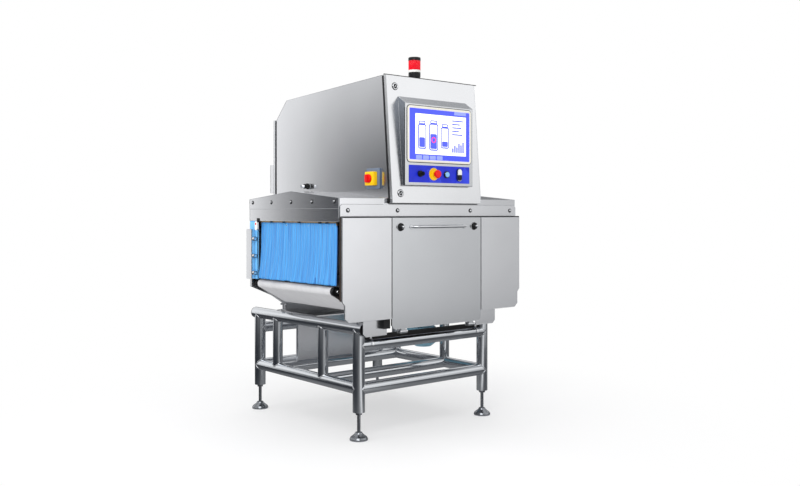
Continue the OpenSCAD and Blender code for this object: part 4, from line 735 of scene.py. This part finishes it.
def door_knobs():
    """Each hold-down knob: a black nylon cone with three flutes, of radius R(h) (1 - depth(h) cos^4(1.5 angle)),
    on a steel washer, with a turned steel tip."""
    for side in ("left", "right"):
        node = "access_knob_" + side
        lo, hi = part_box(node)
        at = pivot(node + "_turn")[0]
        out = at[1] - lo[1]
        r = (hi[0] - lo[0]) / 2
        heights = [0.0003, 0.0035, 0.0045, 0.012, out * 0.62, out * 0.7]
        flutes = np.array([0, 0, 0.25, 0.3, 0.18, 0])[:, None]
        radii = r * np.array([1, 1, 0.93, 0.84, 0.46, 0.4])[:, None] * (1 - flutes * np.cos(1.5 * angles(72)) ** 4)
        Shapes().ribbed(heights, radii, at, FRONT, ALONG_X, UP).done("knob_cone_" + side, BLACK_NYLON, node, node)
        tip = [(0.385, 0.66), (0.39, 0.74), (0.32, 0.88), (0.2, 0.97)]
        steel = Shapes().lathe([(r * a, out * b) for a, b in tip] + [(0.0005, out)], at, FRONT, 32)
        steel.lathe([(r, 0.0002), (r * 1.06, 0.0004), (r * 1.06, 0.0016), (r, 0.002)], at, FRONT, 40)
        steel.lathe(mm((4, -14), (4, 1)), at, FRONT, 16)
        steel.done("knob_tip_" + side, BRIGHT_STEEL, node)


# ---- bolts, hems, welds and the bow handle

def bolts():
    """Domed cap screws on black washers where the housing is bolted: five on each hood end, four on the rail."""
    heads, washers = Shapes(), Shapes()
    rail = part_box("front_rail")[0][1]
    for k in range(-2, 3):
        for s in (-1, 1):
            at, way = (HOOD_X * s, HOOD_Y + k * HOOD_BOLT_PITCH, HOOD_BOLT_Z), (s, 0, 0)
            washers.lathe(mm((10.4, -0.4), (10.6, 0.6), (10.2, 1.4), (5, 1.6)), at, way)
            heads.lathe(mm((6.2, 1.2), (6.4, 3)) + dome(0.0062, 0.0028, 0.003)[1:], at, way)
    for x in (-0.552, -0.249, 0.249, 0.552):
        at = (x, rail, RAIL_BOLT_Z)
        washers.lathe(mm((10.8, -0.2), (11, 0.8), (10.6, 1.6), (5, 1.8)), at, FRONT)
        heads.lathe(mm((6.4, 1.4), (6.6, 3.4)) + dome(0.0064, 0.003, 0.0034)[1:], at, FRONT)
    made = heads.done("bolt_heads", BRIGHT_STEEL)
    washers.done("bolt_washers", BLACK_NYLON)
    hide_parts("housing_bolts")


def folded_edges(name, nodes, body, radius=0.001, shortest=0.03):
    """Bright beads along the sharp folds of sheet-metal nodes: every mesh edge longer than shortest whose two
    faces meet at more than 30 degrees gets a thin six-sided rod, as a radiused fold that catches the light."""
    rods = Shapes()
    for node in nodes:
        mesh = NODES[node].data
        raw = points_of(mesh)
        mesh.calc_loop_triangles()
        tris = np.empty(len(mesh.loop_triangles) * 3, int)
        mesh.loop_triangles.foreach_get("vertices", tris)
        _, first, same = np.unique(np.round(raw, 5), axis=0, return_index=True, return_inverse=True)
        points, tris = raw[first], same.ravel()[tris].reshape(-1, 3)
        normal = np.cross(points[tris[:, 1]] - points[tris[:, 0]], points[tris[:, 2]] - points[tris[:, 0]])
        normal /= np.maximum(np.linalg.norm(normal, axis=1), 1e-12)[:, None]
        edges = np.concatenate([tris[:, [0, 1]], tris[:, [1, 2]], tris[:, [2, 0]]])
        owner = np.tile(np.arange(len(tris)), 3)
        edges.sort(axis=1)
        order = np.lexsort((edges[:, 1], edges[:, 0]))
        edges, owner = edges[order], owner[order]
        pair = np.flatnonzero((edges[1:] == edges[:-1]).all(1))
        one, two = owner[pair], owner[pair + 1]
        bend = (normal[one] * normal[two]).sum(1)
        a, b = points[edges[pair, 0]], points[edges[pair, 1]]
        inner = (points[tris[one]].mean(1) + points[tris[two]].mean(1)) / 2
        outward = ((a + b) / 2 - inner) * (normal[one] + normal[two])
        keep = (bend < FOLD) & (np.linalg.norm(b - a, axis=1) > shortest) & (outward.sum(1) > 0)
        inside = np.array(cad_box[0]) + radius, np.array(cad_box[1]) - radius
        for p, q in zip(np.clip(a[keep], *inside), np.clip(b[keep], *inside)):
            rods.tube([p, q], radius, 6)
    rods.done(name, EDGE_STEEL, body)


def points_of(mesh):
    """A mesh's points as an array."""
    points = np.empty(len(mesh.vertices) * 3)
    mesh.vertices.foreach_get("co", points)
    return points.reshape(-1, 3)


def edges():
    """Bright folds on the sheet-metal pieces, and black tubes as painted shade: the shadow under the front rail,
    the dark seams between the front panels, and the gap round the cabinet door.
    """
    folded_edges("housing_folds", ["front_panels", "front_rail", "end_plates", "front_brackets"], "machine")
    folded_edges("roof_folds", ["tunnel_roof", "cabinet_shell"], "machine", 0.0008, 0.05)
    folded_edges("door_folds", ["access_door"], "access_door")
    folded_edges("cabinet_door_folds", ["cabinet_door", "hmi_housing"], "cabinet_door")
    folded_edges("rear_door_folds", ["rear_door", "rear_cover"], "rear_door", 0.001, 0.05)
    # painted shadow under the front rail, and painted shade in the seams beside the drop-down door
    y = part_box("front_panels")[0][1] + 0.0008
    seam_shadows = Shapes().tube([(-PANEL_X, y, PANEL_TOP), (PANEL_X, y, PANEL_TOP)], 0.0034, 10)
    for x in (-PANEL_SEAM_X, PANEL_SEAM_X):
        seam_shadows.tube([(x, y, PANEL_LOW), (x, y, PANEL_TOP - 0.0035)], 0.0027, 10)
    seam_shadows.done("panel_seam_shadows", SEAM_SHADE)
    # painted shade: a black tube round the cabinet door, on the plane it closes against, for the dark gap round the
    # door and under it
    at, way = pivot("cabinet_door_swing")
    at[0] = 0.0
    half, low, high = 0.304, -0.026, 0.6085
    corners = [at + way * up + np.array([x, 0, 0])
               for x, up in ((-half, low), (half, low), (half, high), (-half, high))]
    line = np.concatenate([p + (q - p) * np.linspace(0.01, 0.99, 8)[:, None]
                           for p, q in zip(corners, corners[1:] + corners[:1])])
    Shapes().tube(line, 0.003, 10, closed=True).done("cabinet_door_gap_shade", BLACK_RUBBER, DOOR)


def dark_lines():
    """Thin dark lines on the cabinet door, as painted shade: along its top edge, and a contact shadow under and
    beside the operator housing's front."""
    points = points_of(NODES["cabinet_door"].data)
    top = points[points[:, 2] > points[:, 2].max() - 0.002]
    y, z, half = top[:, 1].min(), top[:, 2].max(), points[:, 0].max()
    lo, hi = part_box("hmi_housing")
    # painted shade along the door's top edge, and a painted contact shadow round the housing's base
    lines = Shapes().tube([(-half, y, z - 0.0004), (half, y, z - 0.0004)], 0.002, 8)
    lines.tube([(lo[0], lo[1] + 0.0022, lo[2]), (hi[0], lo[1] + 0.0022, lo[2])], 0.0018, 8)
    for x in (lo[0] - 0.0002, hi[0] + 0.0002):
        lines.tube([(x, lo[1] + 0.0045, lo[2]), (x, lo[1] + 0.0045, hi[2] - 0.06)], 0.0012, 8)
    lines.done("cabinet_door_shade_lines", BLACK_RUBBER, DOOR)


def handle():
    """The bow handle's polished skin: a tube that leaves the door at a slant, turns on arcs of 14 mm and
    runs straight; a flat foot rings each end."""
    y0, y1, z, bend, foot = -0.5335, -0.565, 1.035, 0.157, 0.181
    half = [(foot, y0), (foot - 0.004, y0 - 0.006), (bend + 0.012, y1 + 0.0145), (bend + 0.005, y1 + 0.0055),
            (bend - 0.001, y1 + 0.0012), (bend - 0.008, y1)]
    line = [(-x, y, z) for x, y in half] + [(0.0, y1, z)] + [(x, y, z) for x, y in reversed(half)]
    skin = Shapes().tube(line, 0.0067, 20)
    for s in (-1, 1):
        skin.lathe(mm((11.8, 0), (11.8, 3), (10.8, 4.4), (6, 4.6)), (s * (foot - 0.001), y0 + 0.0005, z), FRONT, 32)
    skin.done("bow_handle_skin", BRIGHT_STEEL, "access_door")


def saddle_weld(shapes, at, axis, across, r, big):
    """A weld where a tube of radius r meets one of radius big at right angles: the saddle curve,
    height = sqrt(big^2 - (r sin angle)^2) along axis, as a bead of 3.2 mm with 0.4 mm of ripple."""
    axis, across = np.asarray(axis, float), np.asarray(across, float)
    a = angles(40)[:, None]
    height = np.sqrt(np.maximum(big ** 2 - (r * np.sin(a)) ** 2, 0))
    path = np.asarray(at, float) + np.cos(a) * r * across + np.sin(a) * r * np.cross(axis, across) + height * axis
    shapes.tube(path, 0.0032 + 0.0004 * np.sin(a[:, 0] * 20), 6, closed=True)


def welds():
    """Weld beads at every joint of the stand."""
    beads = Shapes()
    lo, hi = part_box("stand_uprights")
    r = TUBE_R
    lx, low_y, high_y = hi[0] - r, lo[1] + r, hi[1] - r
    for sx in (-1, 1):
        x = sx * lx
        for y, rad in ((low_y, r), (high_y, r)) + tuple((s, STRUT_R) for s in STRUT_YS):
            saddle_weld(beads, (x, y, TOP_Z), (0, 0, -1.0), ALONG_Y, rad, r)
            if rad != r:
                saddle_weld(beads, (x, y, LOW_Z), UP, ALONG_Y, rad, r)
        for sy, y in ((-1, low_y), (1, high_y)):
            saddle_weld(beads, (x, y, LOW_Z), (0, -float(sy), 0), UP, r, r)
            saddle_weld(beads, (x, y, LOW_Z), (-float(sx), 0, 0), UP, r, r)
            saddle_weld(beads, (x, y, CROSS_Z), (-float(sx), 0, 0), UP, r, r)
    beads.done("weld_beads", WELD_STEEL)


def clamps():
    """Black knurled knobs with pale blue discs on the flaps' clamp bars."""
    knobs, discs = Shapes(), Shapes()
    for s in (-1, 1):
        for z in (0.786, 0.876, 0.966):
            at = (s * KNOB_X, KNOB_Y, z)
            knobs.lathe(mm((4.5, -4), (4.5, 11), (9, 12.5), (10.9, 14.5), (10.9, 26.5), (9.8, 28.4), (8.2, 28.4),
                           (8, 27.6), (0.4, 27.6)), at, FRONT, 28)
            discs.lathe(mm((7.9, 27.7), (7.4, 28.8), (0.4, 29)), at, FRONT, 24)
    knobs.done("clamp_knobs", BLACK_NYLON)
    discs.done("clamp_knob_discs", PALE_BLUE)


def nose_ends():
    """The near ends of the nose rollers: black hubs, steel nuts, and the side plates' screws."""
    hubs, nuts = Shapes(), Shapes()
    for s in (-1, 1):
        for side, edge in zip((-1.0, 1.0), (corner[1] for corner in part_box("conveyor_frame"))):
            at, way = (s * NOSE_X, edge, NOSE_Z), (0, side, 0)
            hubs.lathe(mm((15, -0.6), (15.2, 2.2), (13.2, 4), (7.8, 4)), at, way, 32)
            nuts.lathe(mm((7.6, 0), (7.6, 6.2), (6.2, 7.6), (0.4, 7.6)), at, way, 6)
            for dx, dz in ((-0.045, -0.018), (-0.1, -0.028), (-0.17, -0.02)):
                nuts.lathe(mm((5.2, -0.3), (5.2, 2.8), (4, 3.8), (0.4, 3.8)),
                           (s * (NOSE_X + dx), edge, NOSE_Z + dz), way, 6)
    hubs.done("nose_hubs", BLACK_NYLON)
    nuts.done("nose_nuts", BRIGHT_STEEL)


def header_clips():
    """Small dark clips that hold the beige strip over each mouth."""
    clips = Shapes()
    for s, corner in zip((-1.0, 1.0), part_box("curtain_hangers")):
        for y in (-0.4, -0.34, -0.16, -0.02, 0.1):
            clips.pad(mm((0, -1), (0, 1.6), (0.6, 2)), (corner[0], y, HANGER_Z), (0, s, 0), UP, 0.011, 0.0042,
                      0.0012)
    clips.done("header_clips", DARK_STEEL)


def gland():
    """Cable gland on the cabinet's side: a black nut with 16 ridges, a turned steel end and a steel washer."""
    mid, lo, hi = middle("door_gland")
    at = (hi[0], mid[1], mid[2])
    deep, r = hi[0] - lo[0], (hi[1] - lo[1]) / 2
    ridge = np.array([0, 0, 0, 0.03, 0.03, 0])[:, None]
    radii = r * np.array([1, 1, 0.93, 0.84, 0.8, 0.7])[:, None] * (1 + ridge * np.cos(16 * angles(96)) - ridge)
    nut = Shapes().ribbed([0, 0.0085, 0.0105, 0.0108, deep * 0.62, deep * 0.66], radii, at, LEFT, ALONG_Y, UP)
    nut.done("gland_nut", BLACK_NYLON, "machine", "door_gland")
    end = [(0.62, 0.6), (0.64, 0.8), (0.6, 0.97), (0.52, 1), (0.4, 1), (0.38, 0.8)]
    end = Shapes().lathe([(r * a, deep * b) for a, b in end] + [(0.0004, deep * 0.8)], at, LEFT, 36)
    end.done("gland_end", BRIGHT_STEEL)
    washer = Shapes().lathe([(r * 1.14, -0.0002), (r * 1.16, 0.0012), (r * 1.08, 0.0018), (r * 0.9, 0.0018)], at,
                            LEFT, 36)
    washer.done("gland_washer", BRIGHT_STEEL)


def photo_eye():
    """The light barrier's white front and red window at each mouth."""
    white, red = Shapes(), Shapes()
    for s, corner in zip((-1.0, 1.0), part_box("sensors")):
        at = np.array([corner[0], EYE_Y, EYE_Z])
        white.pad(mm((0, -9.4), (0, 0.2), (1, 1.2), (2.5, 1.6)), at, (0, s, 0), UP, 0.0115, 0.0235, 0.009)
        red.pad(mm((0, 0), (0, 2), (0.6, 2.4)), at + [0, 0, 0.0095], (0, s, 0), UP, 0.0052, 0.0062, 0.003)
    white.done("eye_cases", WHITE_PLASTIC)
    red.done("eye_windows", SAFETY_RED)


# each curtain hangs on the side of its rod that it swings away from
strips("infeed_strips", "infeed_curtain", -1, 11, 0.0062)
strips("outfeed_strips", "outfeed_curtain", 1, 12, -0.0062)
for build in (screen, button_plate, beacon, isolator, quarter_locks, door_knobs, bolts, edges, dark_lines, handle,
              welds, clamps, nose_ends, header_clips, gland, photo_eye):
    build()
# the two flaps together stand for the node
infeed_flap = flap("infeed_flap", -1)
flap("outfeed_flap", 1)
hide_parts("side_flaps")


# ---- camera, light and floor

SCENE = bpy.context.scene
WHITE = (1, 1, 1, 1)

# the reflectors' tones: bearing in degrees, the wall's level there, the floor's level near the stand there
TONES = np.array([
    (-180, 0.25, 0.02), (-150, 0.2, 0.06), (-128, 0.18, 0.2), (-112, 0.4, 0.6), (-100, 0.9, 1.25),
    (-90, 1.2, 0.55), (-78, 1.25, 0.14), (-62, 1.25, 0.08), (-54, 0.82, 0.08), (-42, 0.56, 0.1),
    (-34, 0.38, 0.16), (-10, 0.14, 0.22), (20, 0.16, 0.1), (60, 0.1, 0.04), (95, 0.25, 0.03),
    (106, 1.1, 0.04), (116, 1.2, 0.04), (122, 1.2, 0.04), (126, 0.32, 0.03), (129, 0.1, 0.02),
    (131, 0.02, 0.02), (160, 0.1, 0.02), (180, 0.25, 0.02)
])
# up to which height, in metres, the wall keeps its tone before it opens to the sky: bearing, height
SKYLINE = np.array([
    (-180, 2), (-155, 3.2), (-145, 7), (-112, 6), (-100, 1.2), (-60, 0.8), (-48, 1.2), (20, 1.5), (35, 2.3),
    (50, 2.3), (60, 2), (80, 1.6), (121, 1.4), (125, 1.9), (129, 1.6), (136, 1.8), (150, 2.4), (180, 2)
])
WALL_AWAY = 8.0
CARD_GLOW = 1.3


def camera():
    """A camera at the photograph's angle."""
    lens = bpy.data.cameras.new("camera")
    lens.lens, lens.sensor_width, lens.shift_y, lens.clip_end = 39.85, 36.0, -0.0383, 200.0
    made = put("camera", lens)
    made.location = (-3.0313, -3.85435, 1.10646)
    made.rotation_euler = (math.pi / 2, 0, math.radians(-39.9))
    SCENE.camera = made


def sky():
    """A white surround that lights the part at 0.78 of what the camera and mirrors see."""
    world = bpy.data.worlds.new("pale studio")
    world.use_nodes = True
    SCENE.world = world
    tree = world.node_tree
    ray = add(tree, "ShaderNodeLightPath").outputs
    seen = ray["Is Camera Ray"]
    for other in ("Is Transmission Ray", "Is Glossy Ray"):
        seen = add(tree, "ShaderNodeMath", {0: seen, 1: ray[other]}, operation="MAXIMUM").outputs[0]
    strength = add(tree, "ShaderNodeMapRange", {"Value": seen, "To Min": 0.78, "To Max": 1.0})
    background = tree.nodes["Background"]
    background.inputs["Color"].default_value = WHITE
    tree.links.new(strength.outputs["Result"], background.inputs["Strength"])


def floor():
    """A pale floor that takes the shadow near the part and fades to white further out."""
    half = 40.0
    ground = bpy.data.meshes.new("floor")
    ground.from_pydata([(-half, -half, 0), (half, -half, 0), (half, half, 0), (-half, half, 0)], [], [(0, 1, 2, 3)])
    made = put("floor", ground)
    paint = Look("pale studio floor", "#FBFBFC", 0.0, 0.6)
    tree, shader = paint.tree, paint.shader
    place = add(tree, "ShaderNodeTexCoord").outputs["Object"]
    far = add(tree, "ShaderNodeVectorMath", {0: place}, operation="LENGTH")
    fade = add(tree, "ShaderNodeMapRange", {"Value": far.outputs["Value"], "From Min": 0.7, "From Max": 2.1},
               interpolation_type="SMOOTHSTEP")
    glow = add(tree, "ShaderNodeEmission", {"Color": WHITE, "Strength": 1.0})
    share = add(tree, "ShaderNodeMapRange", {"Value": fade.outputs["Result"], "To Min": 0.45, "To Max": 1.0})
    mix = add(tree, "ShaderNodeMixShader", {0: share.outputs["Result"], 1: shader.outputs[0], 2: glow.outputs[0]})
    tree.links.new(mix.outputs[0], tree.nodes["Material Output"].inputs["Surface"])
    ground.materials.append(paint.made)


def softbox(name, place, aim, size, power, mirrored=True):
    """A square area lamp of that size and power in watts; mirrored says whether metal shows it."""
    lamp = bpy.data.lights.new(name, "AREA")
    lamp.shape = "RECTANGLE"
    lamp.size = lamp.size_y = size
    lamp.energy = power
    made = put(name, lamp)
    made.location = place
    made.visible_glossy = mirrored
    way = Vector(aim) - Vector(place)
    made.rotation_euler = way.to_track_quat("-Z", "Y").to_euler()


def reflector(name, x, y, z, levels):
    """A grey-scale card that only reflections see: each point glows at its own level, a little bluer
    where it is dark, as the flags and sheets round a metal product do."""
    points = np.stack(np.broadcast_arrays(x, y, z), -1)
    mesh = bpy.data.meshes.new(name)
    mesh.from_pydata(points.reshape(-1, 3).tolist(), [], quads(*points.shape[:2]))
    layer = mesh.attributes.new("level", "FLOAT", "POINT")
    layer.data.foreach_set("value", (levels / CARD_GLOW).ravel().astype(np.float32))
    made = put(name, mesh)
    made.visible_camera = made.visible_diffuse = made.visible_shadow = made.visible_transmission = False
    made.visible_volume_scatter = False
    paint = bpy.data.materials.new(name)
    paint.use_nodes = True
    tree = paint.node_tree
    tone = add(tree, "ShaderNodeAttribute", attribute_name="level")
    tones = add(tree, "ShaderNodeValToRGB", {"Fac": tone.outputs["Fac"]})
    tones.color_ramp.elements[0].color = linear("#20242B")
    tones.color_ramp.elements[1].color = WHITE
    glow = add(tree, "ShaderNodeEmission", {"Color": tones.outputs["Color"], "Strength": CARD_GLOW})
    tree.links.new(glow.outputs[0], tree.nodes["Material Output"].inputs["Surface"])
    mesh.materials.append(paint)


def reflectors():
    """A ring of walls whose level depends on the bearing and opens to the sky higher up, and the floor as
    metal sees it: grey below the stand, bands by bearing round it, the walls' tones further out."""
    bearing = np.linspace(-180, 180, 361)
    cos, sin = np.cos(np.radians(bearing)), np.sin(np.radians(bearing))
    wall, near = (np.interp(bearing, TONES[:, 0], TONES[:, k])[None, :] for k in (1, 2))
    height = np.array([-0.4, 0.4, 1.2, 1.7, 2.2, 3.0, 4.5, 7.0, 10.0])[:, None]
    skyline = np.interp(bearing, *SKYLINE.T)[None, :]
    open_sky = np.clip((height - skyline) / 2.6, 0, 1)
    sky_level = np.interp(height, [2.0, 4.0, 6.5, 10.0], [1.2, 1.3, 0.5, 0.5])
    levels = np.minimum(wall + (sky_level - wall) * open_sky, 1.2)
    reflector("studio walls", WALL_AWAY * cos[None], WALL_AWAY * sin[None], height, levels)

    reach = np.array([0.02, 0.5, 0.8, 1.0, 1.6, 2.6, 3.6, 4.6, 6.2, WALL_AWAY])[:, None]
    under = np.interp(reach, [0.7, 1.1], [1.0, 0.0])
    far_share = np.interp(reach, [3.0, 5.0], [0.0, 1.0])
    far = np.clip(wall * 0.88, 0.05, 0.95)
    levels = 0.22 * under + (1 - under) * (near * (1 - far_share) + far_share * far)
    reflector("studio floor seen by metal", reach * cos, reach * sin, 0.004, levels)


SCENE.view_settings.view_transform = "Standard"
camera()
sky()
floor()
softbox("key softbox", (-3.5, -3.2, 4.2), (0, 0, 0.9), 3.0, 90.0)
softbox("top softbox", (0.5, 0.5, 5.0), (0, 0, 0.8), 4.0, 60.0, False)
softbox("left fill", (-4.5, 0.6, 1.6), (-0.6, 0, 0.9), 2.0, 55.0, False)
reflectors()
